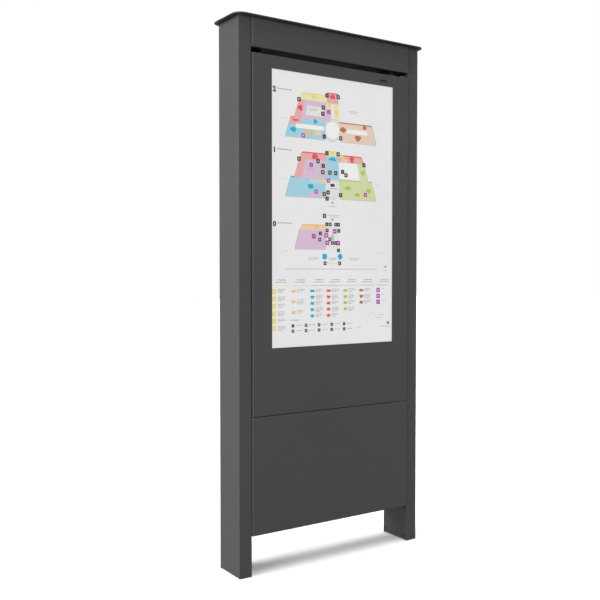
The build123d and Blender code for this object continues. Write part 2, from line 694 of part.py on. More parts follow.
def display_chassis():
    """The display's rear case, a shallow tray with rows of vents."""
    depth_end = DISPLAY_BACK + CHASSIS_DEPTH
    case = block(-CHASSIS_HALF, CHASSIS_HALF, DISPLAY_BACK, depth_end, CHASSIS_LOW, CHASSIS_HIGH)
    case = fillet(case.faces().sort_by(Axis.Y)[-1].edges(), CHASSIS_EDGE_RADIUS)
    case -= block(
        -CHASSIS_HALF + CASE_WALL,
        CHASSIS_HALF - CASE_WALL,
        DISPLAY_BACK - CUT,
        depth_end - CASE_WALL,
        CHASSIS_LOW + CASE_WALL,
        CHASSIS_HIGH - CASE_WALL,
    )
    columns = [(column - 2.5) * CHASSIS_SLOT["pitch"] for column in range(6)]
    rows = [low + row * CHASSIS_SLOT["rise"] for low in CHASSIS_SLOT_FIELDS for row in range(4)]
    places = [(x, z) for x in columns for z in rows]
    sizes = (CHASSIS_SLOT["length"], CHASSIS_SLOT["width"])
    for slot in slots(places, *sizes, depth_end - 2 * CASE_WALL, depth_end + CUT):
        case -= slot
    return case


def display_rail():
    """The left clamp that holds glass and display to the skin."""
    foot_y = FRONT_FACE + SHEET
    inner = -(SCREEN_WIDTH / 2 + GLASS_MARGIN + RAIL_SIDE_GAP)
    outer = inner - RAIL_SHEET
    end = DISPLAY_BACK + RAIL_SHEET
    heights = (CHASSIS_LOW, CHASSIS_HIGH)
    web = block(outer, inner, foot_y, end, *heights)
    foot = block(inner - RAIL_FOOT, inner, foot_y, foot_y + RAIL_SHEET, *heights)
    hook = block(outer, -CHASSIS_HALF - HOOK_GAP, DISPLAY_BACK, end, *heights)
    return web + foot + hook


def circuit_board(places, mounting_face, chips):
    """A board on standoffs from its mounting face, with its chips towards the back."""
    y0 = mounting_face + places["standoff"]
    face = y0 + BOARD_THICKNESS

    def slab(x, z, width, height, end):
        return block(x - width / 2, x + width / 2, y0, end, z - height / 2, z + height / 2)

    board = slab(places["x"], places["z"], places["width"], places["height"], face)
    for across, up, size, tall in chips:
        board += slab(places["x"] + across, places["z"] + up, size, size, face + tall)
    return board


nodes["front_door_skin"] = front_door_skin()
nodes["sensor_window"] = sensor_window()
nodes["touch_glass"] = glass_outline(GLASS_FACE, GLASS_BACK)
nodes["glass_bonding_tape"] = bonding_tape()
nodes["display_panel"] = block(
    -DISPLAY_WIDTH / 2,
    DISPLAY_WIDTH / 2,
    DISPLAY_FACE,
    DISPLAY_BACK,
    SCREEN_MIDDLE - DISPLAY_HEIGHT / 2,
    SCREEN_MIDDLE + DISPLAY_HEIGHT / 2,
)
nodes["display_chassis"] = display_chassis()
nodes["display_rails"] = group([display_rail(), to_right(display_rail())])
nodes["display_driver_board"] = circuit_board(DRIVER_BOARD, DISPLAY_BACK, DRIVER_CHIPS)
nodes["touch_controller_board"] = circuit_board(TOUCH_BOARD, FRONT_FACE + SHEET, TOUCH_CHIPS)
nodes["front_pivot_bushes"] = group(pivot_bushes(DOOR_BOTTOM, DOOR_TOP))


# ---- latches and locks ----
def cam_blade(z, y0, hub_radius):
    """A flat cam that points up when unlocked, round its hub."""
    y1 = y0 + CAM_THICKNESS
    blade = block(LATCH_X - CAM_WIDTH / 2, LATCH_X + CAM_WIDTH / 2, y0, y1, z, z + CAM_LENGTH)
    blade = fillet(blade.edges().filter_by(Axis.Y).group_by(Axis.Z)[-1], CAM_TIP_RADIUS)
    return blade + rod_y(LATCH_X, z, y0, y1, hub_radius)


def front_latch_housing(z):
    """The boss on the inside of the front door that carries a latch spindle."""
    inside = FRONT_FACE + SHEET
    foot = block(
        LATCH_X - LATCH_FOOT["half_width"],
        LATCH_X + LATCH_FOOT["half_width"],
        inside,
        inside + LATCH_FOOT["thickness"],
        z - LATCH_FOOT["half_height"],
        z + LATCH_FOOT["half_height"],
    )
    boss = rod_y(LATCH_X, z, inside, CAM_FACE - CAM_GAP, LATCH_BOSS_RADIUS)
    return foot + boss - rod_y(LATCH_X, z, inside + 1.0, CAM_FACE, SPINDLE_RADIUS + THREAD_FIT)


def front_latch_turn(z):
    """The spindle, cam and thumb-turn wing of one front latch, worked from inside the cabinet."""
    cam_back = CAM_FACE + CAM_THICKNESS
    spindle = rod_y(LATCH_X, z, FRONT_FACE + SHEET + 1.5, cam_back + 3, SPINDLE_RADIUS)
    wing = block(
        LATCH_X - WING["half_thickness"],
        LATCH_X + WING["half_thickness"],
        cam_back,
        cam_back + WING["reach"],
        z - WING["half_height"],
        z + WING["half_height"],
    )
    wing = fillet(wing.edges().filter_by(Axis.X).group_by(Axis.Y)[-1], SPINDLE_RADIUS)
    return spindle + cam_blade(z, CAM_FACE, HUB_RADIUS) + wing


def rear_lock_housing(z):
    """The fixed body of one rear door lock, with its outer flange and its nut."""
    flange = rod_y(LATCH_X, z, LOCK_FACE, FRONT_FACE, LOCK_FLANGE_RADIUS)
    flange = fillet(flange.edges().sort_by(Axis.Y)[0], 1.2)
    tube = rod_y(LATCH_X, z, FRONT_FACE, CAM_FACE - CAM_GAP, LOCK_TUBE_RADIUS)
    inside = Plane(origin=(LATCH_X, FRONT_FACE + REAR_SHEET, z), z_dir=(0, 1, 0))
    nut = inside * extrude(RegularPolygon(LOCK_NUT["radius"], 6), LOCK_NUT["thickness"])
    bore = rod_y(LATCH_X, z, LOCK_FACE - CUT, CAM_FACE, BARREL_RADIUS + THREAD_FIT)
    return flange + tube + nut - bore


def rear_lock_barrel(z):
    """The keyed barrel of one rear door lock, with its cam."""
    barrel = rod_y(LATCH_X, z, LOCK_FACE - 0.5, CAM_FACE + CAM_THICKNESS, BARREL_RADIUS)
    keyway = block(
        LATCH_X - KEYWAY["half_width"],
        LATCH_X + KEYWAY["half_width"],
        LOCK_FACE - CUT,
        LOCK_FACE + KEYWAY["depth"],
        z - KEYWAY["half_height"],
        z + KEYWAY["half_height"],
    )
    return barrel - keyway + cam_blade(z, CAM_FACE, HUB_RADIUS)


nodes["front_latch_housings"] = group(front_latch_housing(z) for z in FRONT_LATCH_HEIGHTS.values())
nodes["rear_lock_housings"] = group(to_rear(rear_lock_housing(z)) for z in REAR_LOCK_HEIGHTS.values())
for place, height in FRONT_LATCH_HEIGHTS.items():
    nodes[place + "_front_latch_turn"] = front_latch_turn(height)
for place, height in REAR_LOCK_HEIGHTS.items():
    nodes[place + "_rear_lock_barrel"] = to_rear(rear_lock_barrel(height))


# ---- rear door ----
def rear_door_skin():
    """The rear door's folded skin, with an intake field of slots low down and an exhaust field at the top."""
    skin = folded_panel(DOOR_HALF, REAR_DOOR_BOTTOM, DOOR_TOP, REAR_SHEET)
    rows = [low + row * LOUVRE_PITCH for low in LOUVRE_FIELDS for row in range(LOUVRE_ROWS)]
    places = [(x, z) for z in rows for x in LOUVRE_COLUMNS]
    y0, y1 = FRONT_FACE - CUT, FRONT_FACE + REAR_SHEET + CUT
    for slot in slots(places, LOUVRE_LENGTH, LOUVRE_WIDTH, y0, y1):
        skin -= slot
    for z in REAR_LOCK_HEIGHTS.values():
        skin -= rod_y(LATCH_X, z, y0, y1, LOCK_TUBE_RADIUS + 2 * THREAD_FIT)
    return with_pivot_holes(skin, REAR_DOOR_BOTTOM, DOOR_TOP)


def stiffener(x):
    """A folded hat section up the inside of the rear door."""
    low, high = FILTER_HIGH + STIFFENER["gap"], LOUVRE_FIELDS[1] - STIFFENER["gap"] - FRAME_BORDER
    face = FRONT_FACE + REAR_SHEET
    crown = face + STIFFENER["depth"]
    half, inner = STIFFENER["half_width"], STIFFENER["half_crown"] - REAR_SHEET
    hat = block(x - half, x + half, face, crown, low, high)
    hat -= block(x - inner, x + inner, face - CUT, crown - REAR_SHEET, low - CUT, high + CUT)
    for side in (-1, 1):
        x0, x1 = sorted((x + side * STIFFENER["half_crown"], x + side * (half + CUT)))
        hat -= block(x0, x1, face + REAR_SHEET, crown + CUT, low - CUT, high + CUT)
    return hat


def filter_frame():
    """The frame that holds the filter mat against the intake slots."""
    face = FRONT_FACE + REAR_SHEET
    mat_back = face + FILTER_THICKNESS
    back = mat_back + FRAME_BACK
    half, low, high = FILTER_HALF, FILTER_LOW, FILTER_HIGH
    frame = block(
        -half - FRAME_BORDER,
        half + FRAME_BORDER,
        face,
        back,
        low - FRAME_BORDER,
        high + FRAME_BORDER,
    )
    frame -= block(-half, half, face - CUT, mat_back, low, high)
    frame -= block(-half + FRAME_LIP, half - FRAME_LIP, face, back + CUT, low + FRAME_LIP, high - FRAME_LIP)
    for x in (-FRAME_BAR["x"], FRAME_BAR["x"]):
        x0, x1 = x - FRAME_BAR["half_width"], x + FRAME_BAR["half_width"]
        frame += block(x0, x1, mat_back, back, low, high)
    return frame


nodes["rear_door_skin"] = to_rear(rear_door_skin())
nodes["rear_door_stiffeners"] = to_rear(group(stiffener(x) for x in (-STIFFENER["x"], STIFFENER["x"])))
nodes["filter_frame"] = to_rear(filter_frame())
nodes["filter_mat"] = to_rear(
    block(
        -FILTER_HALF + FILTER_FIT,
        FILTER_HALF - FILTER_FIT,
        FRONT_FACE + REAR_SHEET,
        FRONT_FACE + REAR_SHEET + FILTER_THICKNESS,
        FILTER_LOW + FILTER_FIT,
        FILTER_HIGH - FILTER_FIT,
    )
)
nodes["rear_pivot_bushes"] = to_rear(group(pivot_bushes(REAR_DOOR_BOTTOM, DOOR_TOP)))


# ---- fans ----
def fan_housing(x):
    """A square axial fan frame with its spokes, motor and bearing tube."""
    half = FAN_SIZE / 2
    frame = block(x - half, x + half, -half, half, FAN_BOTTOM, FAN_TOP)
    frame = fillet(frame.edges().filter_by(Axis.Z), FAN_CORNER_RADIUS)
    frame -= rod_z(x, 0, FAN_BOTTOM - CUT, FAN_TOP + CUT, FAN_DUCT_RADIUS)
    for side_x in (-FAN_SCREW_PITCH / 2, FAN_SCREW_PITCH / 2):
        for side_y in (-FAN_SCREW_PITCH / 2, FAN_SCREW_PITCH / 2):
            frame -= rod_z(x + side_x, side_y, FAN_BOTTOM - CUT, FAN_TOP + CUT, FAN_SCREW_RADIUS)
    width, thickness = FAN_SPOKE["width"], FAN_SPOKE["thickness"]
    spoke = Box(FAN_DUCT_RADIUS - width, width, thickness)
    spoke = Pos(FAN_DUCT_RADIUS / 2 + width, 0, FAN_BOTTOM + thickness / 2) * spoke
    for index in range(FAN_SPOKES):
        frame += Pos(x, 0, 0) * Rot(0, 0, 45 + index * 360 / FAN_SPOKES) * spoke
    motor_top = FAN_BOTTOM + FAN_MOTOR["height"]
    frame += rod_z(x, 0, FAN_BOTTOM, FAN_BOTTOM + thickness, FAN_CUP_RADIUS)
    frame += rod_z(x, 0, FAN_BOTTOM, motor_top, FAN_MOTOR["radius"])
    return frame - rod_z(x, 0, FAN_BOTTOM + 2, motor_top + CUT, FAN_SHAFT_RADIUS + THREAD_FIT)


def fan_rotor(x):
    """The fan's cup, shaft and pitched blades."""
    low, high = FAN_CUP
    rotor = rod_z(x, 0, low, high, FAN_CUP_RADIUS)
    rotor -= rod_z(x, 0, low - CUT, high - FAN_CUP_WALL, FAN_CUP_RADIUS - FAN_CUP_WALL)
    rotor += rod_z(x, 0, FAN_BOTTOM + FAN_SPOKE["thickness"], high - FAN_CUP_WALL / 2, FAN_SHAFT_RADIUS)
    length = FAN_TIP_RADIUS - FAN_CUP_RADIUS
    blade = Rot(FAN_BLADE["pitch"], 0, 0) * Box(length, FAN_BLADE["chord"], FAN_BLADE["thickness"])
    blade = Pos(FAN_CUP_RADIUS + length / 2 - FAN_BLADE["root"], 0, (low + high) / 2) * blade
    for index in range(FAN_BLADES):
        rotor += Pos(x, 0, 0) * Rot(0, 0, index * 360 / FAN_BLADES) * blade
    return rotor


def fan_tray():
    """The plate that the fans hang under, folded up at its ends to the upper rail."""
    rail_bottom = UPPER_RAIL["height"][0]
    foot_half = TRAY_FOOT["half_depth"]
    tray = block(-TRAY_HALF, TRAY_HALF, -TRAY_DEPTH, TRAY_DEPTH, FAN_TOP, FAN_TOP + SHEET)
    for x in (-FAN_X, FAN_X):
        tray -= rod_z(x, 0, FAN_TOP - CUT, FAN_TOP + SHEET + CUT, FAN_DUCT_RADIUS)
    for side in (-1, 1):
        x0, x1 = sorted((side * TRAY_HALF, side * (TRAY_HALF - SHEET)))
        tray += block(x0, x1, -TRAY_DEPTH, TRAY_DEPTH, FAN_TOP, rail_bottom)
        x0, x1 = sorted((side * TRAY_HALF, side * (TRAY_HALF - TRAY_FOOT["length"])))
        tray += block(x0, x1, -foot_half, foot_half, rail_bottom - SHEET, rail_bottom)
    return tray


for side, fan_x in (("left", -FAN_X), ("right", FAN_X)):
    nodes[side + "_fan_housing"] = fan_housing(fan_x)
    nodes[side + "_fan_rotor"] = fan_rotor(fan_x)
nodes["fan_tray"] = fan_tray()


# ---- equipment ----
def open_case(places, radius):
    """A folded case on the equipment plate, open against the plate."""
    x0, x1 = places["x"]
    z0, z1 = places["z"]
    case = block(x0, x1, PLATE_FACE, places["face"], z0, z1)
    case = fillet(case.faces().sort_by(Axis.Y)[-1].edges(), radius)
    return case - block(
        x0 + CASE_WALL,
        x1 - CASE_WALL,
        PLATE_FACE - CUT,
        places["face"] - CASE_WALL,
        z0 + CASE_WALL,
        z1 - CASE_WALL,
    )


def equipment_plate():
    """The mounting plate, from the lower rail up the back of the middle rail."""
    low = LOWER_RAIL["height"][1]
    high = MIDDLE_RAIL["height"][1]
    back = MIDDLE_RAIL["depth"][1]
    plate = block(-TRAY_HALF, TRAY_HALF, back, PLATE_FACE, low, high)
    foot = block(-TRAY_HALF, TRAY_HALF, back, back + PLATE_FOOT, low, low + PLATE_THICKNESS)
    return plate + foot


def isolator_box():
    """The mains isolator's enclosure, with the pocket for its rocker."""
    middle = sum(ISOLATOR["x"]) / 2
    face = ISOLATOR["face"]
    surround = block(
        middle - SURROUND["half_width"],
        middle + SURROUND["half_width"],
        SURROUND["root"],
        face + SURROUND["proud"],
        ROCKER_Z - SURROUND["half_height"],
        ROCKER_Z + SURROUND["half_height"],
    )
    surround = fillet(surround.faces().sort_by(Axis.Y)[-1].edges(), 1.0)
    pocket = block(
        middle - POCKET["half_width"],
        middle + POCKET["half_width"],
        POCKET["floor"],
        face + 2 * SURROUND["proud"],
        ROCKER_Z - POCKET["half_height"],
        ROCKER_Z + POCKET["half_height"],
    )
    reach = ROCKER_PIN["half_length"] + 0.2
    pivot = rod_x(ROCKER_Y, ROCKER_Z, middle - reach, middle + reach, ROCKER_PIN["radius"] + THREAD_FIT)
    return open_case(ISOLATOR, CASE_EDGE_RADIUS) + surround - pocket - pivot


def isolator_rocker():
    """The rocker with its two pivots, lying at its on position."""
    middle = sum(ISOLATOR["x"]) / 2
    body = rod_x(ROCKER_Y, ROCKER_Z, middle - ROCKER_HALF, middle + ROCKER_HALF, ROCKER_RADIUS)
    waste = Box(3 * ROCKER_HALF, 20, 20)
    for side in (-1, 1):
        face = Pos(middle, ROCKER_Y + 18, ROCKER_Z) * Rot(side * ROCKER_FACE_SLOPE, 0, 0)
        body -= face * Pos(0, 0, side * 10) * waste
    reach = ROCKER_PIN["half_length"]
    body += rod_x(ROCKER_Y, ROCKER_Z, middle - reach, middle + reach, ROCKER_PIN["radius"])
    pivot = Axis((middle, ROCKER_Y, ROCKER_Z), (1, 0, 0))
    return body.rotate(pivot, -ROCKER_TILT)


def media_player():
    """A fanless player whose case is a finned heatsink."""
    x0, x1 = PLAYER["x"]
    z0, z1 = PLAYER["z"]
    face = PLAYER["face"]
    case = block(x0, x1, PLATE_FACE, face, z0, z1)
    case = fillet(case.edges().filter_by(Axis.Y), CASE_EDGE_RADIUS)
    pitch = (x1 - x0) / (PLAYER_FINS + 1)
    half = PLAYER_GROOVE["half_width"]
    for index in range(PLAYER_FINS):
        x = x0 + pitch * (index + 1)
        case -= block(x - half, x + half, face - PLAYER_GROOVE["depth"], face + CUT, z0 - CUT, z1 + CUT)
    half = SOCKET["half_width"]
    for inset in PLAYER_SOCKETS:
        x = x0 + inset
        case -= block(x - half, x + half, SOCKET["front"], SOCKET["back"], z0 - CUT, z0 + SOCKET["depth"])
    return case


def power_supply():
    """A perforated-cover power supply."""
    supply = open_case(SUPPLY, SUPPLY_EDGE_RADIUS)
    x0, x1 = (int(x) for x in SUPPLY["x"])
    z0, z1 = (int(z) for z in SUPPLY["z"])
    columns = range(x0 + 30, x1 - 20, SUPPLY_SLOT["across"])
    rows = range(z0 + 50, z1 - 40, SUPPLY_SLOT["rise"])
    places = [(x, z) for x in columns for z in rows]
    sizes = (SUPPLY_SLOT["length"], SUPPLY_SLOT["width"])
    for slot in slots(places, *sizes, SUPPLY["face"] - 2 * CASE_WALL, SUPPLY["face"] + CUT):
        supply -= slot
    return supply


def cable(name, points, diameter):
    """A round cable along straight runs joined by the largest arcs that the runs allow."""
    corners = [Vector(*point) for point in points]
    radii = []
    for before, here, after in zip(corners, corners[1:], corners[2:]):
        first, second = here - before, after - here
        turn = first.get_angle(second)
        radii.append(ARC_SHARE * min(first.length, second.length) / math.tan(math.radians(turn / 2)))
    route = FilletPolyline(*corners, radius=radii)
    section = Plane(origin=route @ 0, z_dir=route % 0) * Circle(diameter / 2)
    tube = sweep(section, path=route)
    expected = math.pi * diameter**2 / 4 * route.length
    print(name, "length", round(route.length, 1), "radii", [round(r, 1) for r in radii])
    print(name, "volume over section times length", round(tube.volume / expected, 4))
    return tube


def cable_gland():
    """The gland in the isolator box, for the supply cable that the installer brings up the leg."""
    x = ISOLATOR["x"][0]
    z = GLAND["z"]
    wall = Plane(origin=(x, CABLE_Y, z), z_dir=(-1, 0, 0))
    nut = wall * extrude(RegularPolygon(GLAND["nut"], 6), GLAND["nut_length"])
    body = rod_x(CABLE_Y, z, x - GLAND["length"], x, GLAND["radius"])
    return nut + body - rod_x(CABLE_Y, z, x - GLAND["length"] - CUT, x + CUT, GLAND["bore"])


nodes["equipment_plate"] = equipment_plate()
nodes["isolator_box"] = isolator_box()
nodes["isolator_rocker"] = isolator_rocker()
nodes["power_supply"] = power_supply()
nodes["media_player"] = media_player()
nodes["supply_cable"] = cable("supply_cable", SUPPLY_CABLE_ROUTE, SUPPLY_CABLE_DIAMETER)
nodes["player_cable"] = cable("player_cable", PLAYER_CABLE_ROUTE, PLAYER_CABLE_DIAMETER)
nodes["cable_gland"] = cable_gland()

for name, shape in nodes.items():
    export_step(shape, f"parts/{name}.step")
print(len(nodes), "nodes")
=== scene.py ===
import json
import math
import random

import bmesh
import bpy
from mathutils import Matrix, Vector


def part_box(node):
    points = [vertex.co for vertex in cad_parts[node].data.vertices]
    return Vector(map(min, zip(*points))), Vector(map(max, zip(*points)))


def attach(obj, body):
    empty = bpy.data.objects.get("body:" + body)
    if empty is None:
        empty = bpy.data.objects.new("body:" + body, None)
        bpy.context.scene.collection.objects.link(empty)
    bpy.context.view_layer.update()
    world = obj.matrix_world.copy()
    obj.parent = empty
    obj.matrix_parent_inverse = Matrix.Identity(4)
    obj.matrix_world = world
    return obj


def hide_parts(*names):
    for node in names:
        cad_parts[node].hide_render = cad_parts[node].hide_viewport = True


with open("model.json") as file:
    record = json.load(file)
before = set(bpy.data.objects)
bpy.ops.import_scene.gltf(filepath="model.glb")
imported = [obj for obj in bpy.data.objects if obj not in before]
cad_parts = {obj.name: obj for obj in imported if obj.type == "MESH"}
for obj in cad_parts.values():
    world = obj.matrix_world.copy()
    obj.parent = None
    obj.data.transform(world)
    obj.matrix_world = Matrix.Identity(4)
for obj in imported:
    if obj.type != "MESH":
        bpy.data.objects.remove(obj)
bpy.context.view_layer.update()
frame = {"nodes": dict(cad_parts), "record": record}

# The looks of a free-standing touchscreen kiosk: the camera and studio, a material for each of the record's
# slots, the lit page behind the glass, and finer pieces for what the CAD keeps plain. Metres, +Z up.

MM = 0.001
RANDOM = random.Random(7)
SLOT_OF = {part["node"]: part["material_slot"] for part in frame["record"]["subparts"]}

# ---- sizes of the finer pieces ----
FAN_BLADES = 7
FAN_CUP_RADIUS = 19.0 * MM
FAN_SHAFT_RADIUS = 2.0 * MM
FAN_CUP_LIFT = 1.5 * MM
FAN_CUP_ROUND = 1.2 * MM
FAN_CUP_SHOULDER = (0.4 * MM, 0.35 * MM)
FAN_WALL = 2.0 * MM
BLADE_ROOT_RADIUS = FAN_CUP_RADIUS - 0.5 * MM
BLADE_TIP_RADIUS = 41.0 * MM
BLADE_ROOT_CHORD = 15.0 * MM
BLADE_FLARE = 6.0 * MM
BLADE_ROOT_PITCH = 46.0
BLADE_TWIST = 20.0
BLADE_SWEEP = 0.055
BLADE_CAMBER = 1.6 * MM
BLADE_EDGE = 0.5 * MM
BLADE_BELLY = 1.4 * MM
BLADE_SPANS = 8
PLEAT_PITCH = 12.0 * MM
PLEAT_STEPS = 12
MAT_THICKNESS = 1.1 * MM
MAT_WANDER = 0.125 * MM
MAT_LEVELS = 10
BOARD_THICKNESS = 1.6 * MM
PACKAGE_SIZE = (1.6 * MM, 0.9 * MM, 2.6 * MM)
PACKAGE_PITCH = 6.0 * MM
PACKAGE_MIDDLE = 0.4 * MM
PACKAGE_TAPER = 0.1 * MM
PACKAGE_ROWS = (0.14, 0.80, 0.90)
PACKAGES_FITTED = 0.75
PLUG_SIZE = (15.0 * MM, 4.6 * MM, 5.4 * MM)
PLUG_MIDDLE = 2.2 * MM
PLUG_TAPER = 0.3 * MM
PLUG_INSET = 3.6 * MM
PLUG_COLUMNS = (0.22, 0.50, 0.78)
PIN_SIZE = (0.6 * MM, 0.8 * MM, 2.4 * MM)
PIN_MIDDLE = 0.4 * MM
PIN_INSET = 7.4 * MM
PIN_PITCH = 2.0 * MM
PINS = 6
SCREW_INSET = 4.0 * MM
SCREW_PROFILE = ((2.9 * MM, 0.0), (2.9 * MM, 1.0 * MM), (2.3 * MM, 1.7 * MM))
SOFT_EDGE = 0.4 * MM
SOFT_EDGE_ANGLE = 40.0
BODY_OF_ROTOR = {"left_fan_rotor": "left_fan", "right_fan_rotor": "right_fan"}
SOFTENED = (
    "left_base_plate",
    "right_base_plate",
    "left_foot_cover",
    "right_foot_cover",
    "bottom_tray",
    "front_door_stop",
    "rear_door_stop",
    "upper_pivot_brackets",
    "lower_front_pivot_bracket",
    "lower_rear_pivot_bracket",
    "equipment_plate",
    "display_rails",
    "display_panel",
    "filter_frame",
    "media_player",
)

# ---- camera and studio ----
CAMERA_PLACE = (-2.0030, -2.8226, 1.1726)
CAMERA_YAW = 33.76
CAMERA_PITCH = 1.871
CAMERA_LENS = 50.0
FLOOR_HALF = 30.0
SKY_LIGHT = 0.35
SKY_SEEN = 1.0
FLOOR_BOUNCE = 0.2
FLOOR_LIFT = 0.14

# Each light's name, heading, strength and spread in degrees.
LIGHTS = (
    ("left_light", (0.80, -0.10, -0.45), 0.77, 40),
    ("low_left_light", (0.88, 0.36, -0.06), 0.50, 20),
    ("front_light", (0.10, 0.95, -0.12), 0.17, 40),
    ("overhead_light", (0.0, 0.05, -1.0), 0.85, 50),
)

# ---- the display and its page ----
DISPLAY_LIGHT = 0.96
DISPLAY_SKIN = 0.3 * MM
PIXEL_PITCH = 0.565 * MM

# Sizes on the page in millimetres. Places on it are measured from the window's top left corner.
WINDOW_SIDE = 14.5
WINDOW_TOP = 9.5
PLAN_MIDDLE = 293
PLAN_BACK_HALF = 168
PLAN_SLANT = 0.34
ROW_PITCH = 25
CORNER = 14
CORNER_STEPS = 6
WALL_RISE = 0.5
FLOOR_DROP = 4
SHADOW_DROP = 6
HALL_RADIUS = 46
HALL_FLOOR_RADIUS = 34
HALL_RINGS = ((45, 2.0), (37, 1.2))
HALL_POINTS = 48
STAIR_RADIUS = 58
TREAD_WIDTH = 0.9
BADGE_SIZE = 17.0
WORD_HEIGHT = 2.4
SMALL_WORD_HEIGHT = 2.2
TITLE_HEIGHT = 3.4
WORD_GAP = 1.8
NUMERAL_WEIGHT = 1.6
SQUIGGLE_STEP = 5.5
SQUIGGLE_SWING = 4.0
SQUIGGLE_WIDTH = 1.6

# Shares, counts and turns on the page.
PLAN_COLUMNS = 12
HALL_ROW = 5.5
STAIR_TURNS = (0.11, 0.39, 0.61, 0.89)
TREAD_TURN = 0.014
BADGE_ROUNDING = 0.16
BADGE_UNITS = 26.0
NUMERAL_SHARE = 0.7

# The page's layers, from the display outwards.
PAGE_LAYERS = 7
SHADOW, WALL, FLOOR, ROOM, BADGE, GLYPH, SPECK = range(PAGE_LAYERS)
LAYER_START = 0.15
LAYER_END = 0.85


def make_camera():
    """The viewing angle: from the kiosk's front left, near eye height."""
    lens = bpy.data.cameras.new("camera")
    lens.lens = CAMERA_LENS
    lens.sensor_width = 36.0
    lens.clip_end = 100.0
    camera = bpy.data.objects.new("camera", lens)
    camera.location = CAMERA_PLACE
    camera.rotation_euler = (math.radians(90 - CAMERA_PITCH), 0, math.radians(-CAMERA_YAW))
    bpy.context.scene.collection.objects.link(camera)
    bpy.context.scene.camera = camera


def make_sky():
    """A plain white surround that lights the object less than it shows."""
    world = bpy.data.worlds.new("studio")
    world.use_nodes = True
    nodes, links = world.node_tree.nodes, world.node_tree.links
    background = nodes["Background"]
    background.inputs["Color"].default_value = (1.0, 1.0, 1.0, 1.0)
    path = nodes.new("ShaderNodeLightPath")
    strength = nodes.new("ShaderNodeMapRange")
    strength.inputs["To Min"].default_value = SKY_LIGHT
    strength.inputs["To Max"].default_value = SKY_SEEN
    links.new(path.outputs["Is Camera Ray"], strength.inputs["Value"])
    links.new(strength.outputs["Result"], background.inputs["Strength"])
    bpy.context.scene.world = world


def soft_light(name, heading, strength, spread):
    """A broad distant light that shines along a heading."""
    lamp = bpy.data.lights.new(name, "SUN")
    lamp.energy = strength * math.pi
    lamp.angle = math.radians(spread)
    light = bpy.data.objects.new(name, lamp)
    light.location = Vector(heading) * -4
    light.rotation_euler = Vector(heading).to_track_quat("-Z", "Y").to_euler()
    bpy.context.scene.collection.objects.link(light)


def make_lights():
    """A high and a level light from the left, one in front, and one overhead that whitens the floor."""
    for name, heading, strength, spread in LIGHTS:
        soft_light(name, heading, strength, spread)


# ---- material building blocks ----
class Finish:
    """One procedural material: the Principled shader and the texture nodes that feed it."""

    def __init__(self, name, metallic=0.0, specular=0.5):
        self.material = bpy.data.materials.new(name)
        self.material.use_nodes = True
        self.tree = self.material.node_tree
        self.shader = self.tree.nodes["Principled BSDF"]
        self.shader.inputs["Metallic"].default_value = metallic
        self.shader.inputs["Specular IOR Level"].default_value = specular
        self.place = self.node("ShaderNodeTexCoord").outputs["Object"]
        self.height = None

    def node(self, kind, **values):
        """A new node, with its inputs set by name."""
        made = self.tree.nodes.new(kind)
        for key, value in values.items():
            made.inputs[key.replace("_", " ")].default_value = value
        return made

    def link(self, source, target):
        self.tree.links.new(source, target)

    def stretched(self, scale):
        """The object's own coordinates, scaled along each axis."""
        mapping = self.node("ShaderNodeMapping", Scale=scale)
        self.link(self.place, mapping.inputs["Vector"])
        return mapping.outputs["Vector"]

    def noise(self, scale, detail=3.0, rough=0.5, place=None):
        texture = self.node("ShaderNodeTexNoise", Scale=scale, Detail=detail, Roughness=rough)
        self.link(place or self.place, texture.inputs["Vector"])
        return texture.outputs["Fac"]

    def cells(self, scale, output="Distance"):
        texture = self.node("ShaderNodeTexVoronoi", Scale=scale)
        self.link(self.place, texture.inputs["Vector"])
        return texture.outputs[output]

    def bricks(self, **values):
        """A brick texture laid upright, along X and Z."""
        turn = self.node("ShaderNodeMapping", Rotation=(math.radians(90), 0, 0))
        self.link(self.place, turn.inputs["Vector"])
        texture = self.node("ShaderNodeTexBrick", Scale=1.0, **values)
        self.link(turn.outputs["Vector"], texture.inputs["Vector"])
        return texture

    def along(self, axis, vector):
        """A vector's part along one axis."""
        split = self.node("ShaderNodeSeparateXYZ")
        self.link(vector, split.inputs["Vector"])
        return split.outputs[axis]

    def spread(self, value, low, high, start=0.3, end=0.7):
        """A texture's value between start and end, spread from low to high."""
        node = self.node("ShaderNodeMapRange", From_Min=start, From_Max=end, To_Min=low, To_Max=high)
        self.link(value, node.inputs["Value"])
        return node.outputs["Result"]

    def maths(self, operation, first, second):
        node = self.tree.nodes.new("ShaderNodeMath")
        node.operation = operation
        for socket, value in zip(node.inputs, (first, second)):
            if isinstance(value, (int, float)):
                socket.default_value = value
            else:
                self.link(value, socket)
        return node.outputs[0]

    def blend(self, share, first, second):
        """A colour between two colours or colour sockets."""
        node = self.tree.nodes.new("ShaderNodeMix")
        node.data_type = "RGBA"
        self.link(share, node.inputs["Factor"])
        for socket, value in ((node.inputs[6], first), (node.inputs[7], second)):
            if isinstance(value, tuple):
                socket.default_value = (*value[:3], 1.0)
            else:
                self.link(value, socket)
        return node.outputs[2]

    def colour(self, socket):
        self.link(socket, self.shader.inputs["Base Color"])

    def roughness(self, socket):
        self.link(socket, self.shader.inputs["Roughness"])

    def bump(self, value, depth, strength):
        """Relief of the given depth in metres, over whatever relief is there already."""
        node = self.node("ShaderNodeBump", Strength=strength, Distance=depth)
        self.link(value, node.inputs["Height"])
        if self.height:
            self.link(self.height, node.inputs["Normal"])
        self.height = node.outputs["Normal"]
        self.link(self.height, self.shader.inputs["Normal"])


def shade(colour, by):
    """A colour made lighter or darker."""
    return tuple(min(1.0, part * by) for part in colour[:3])


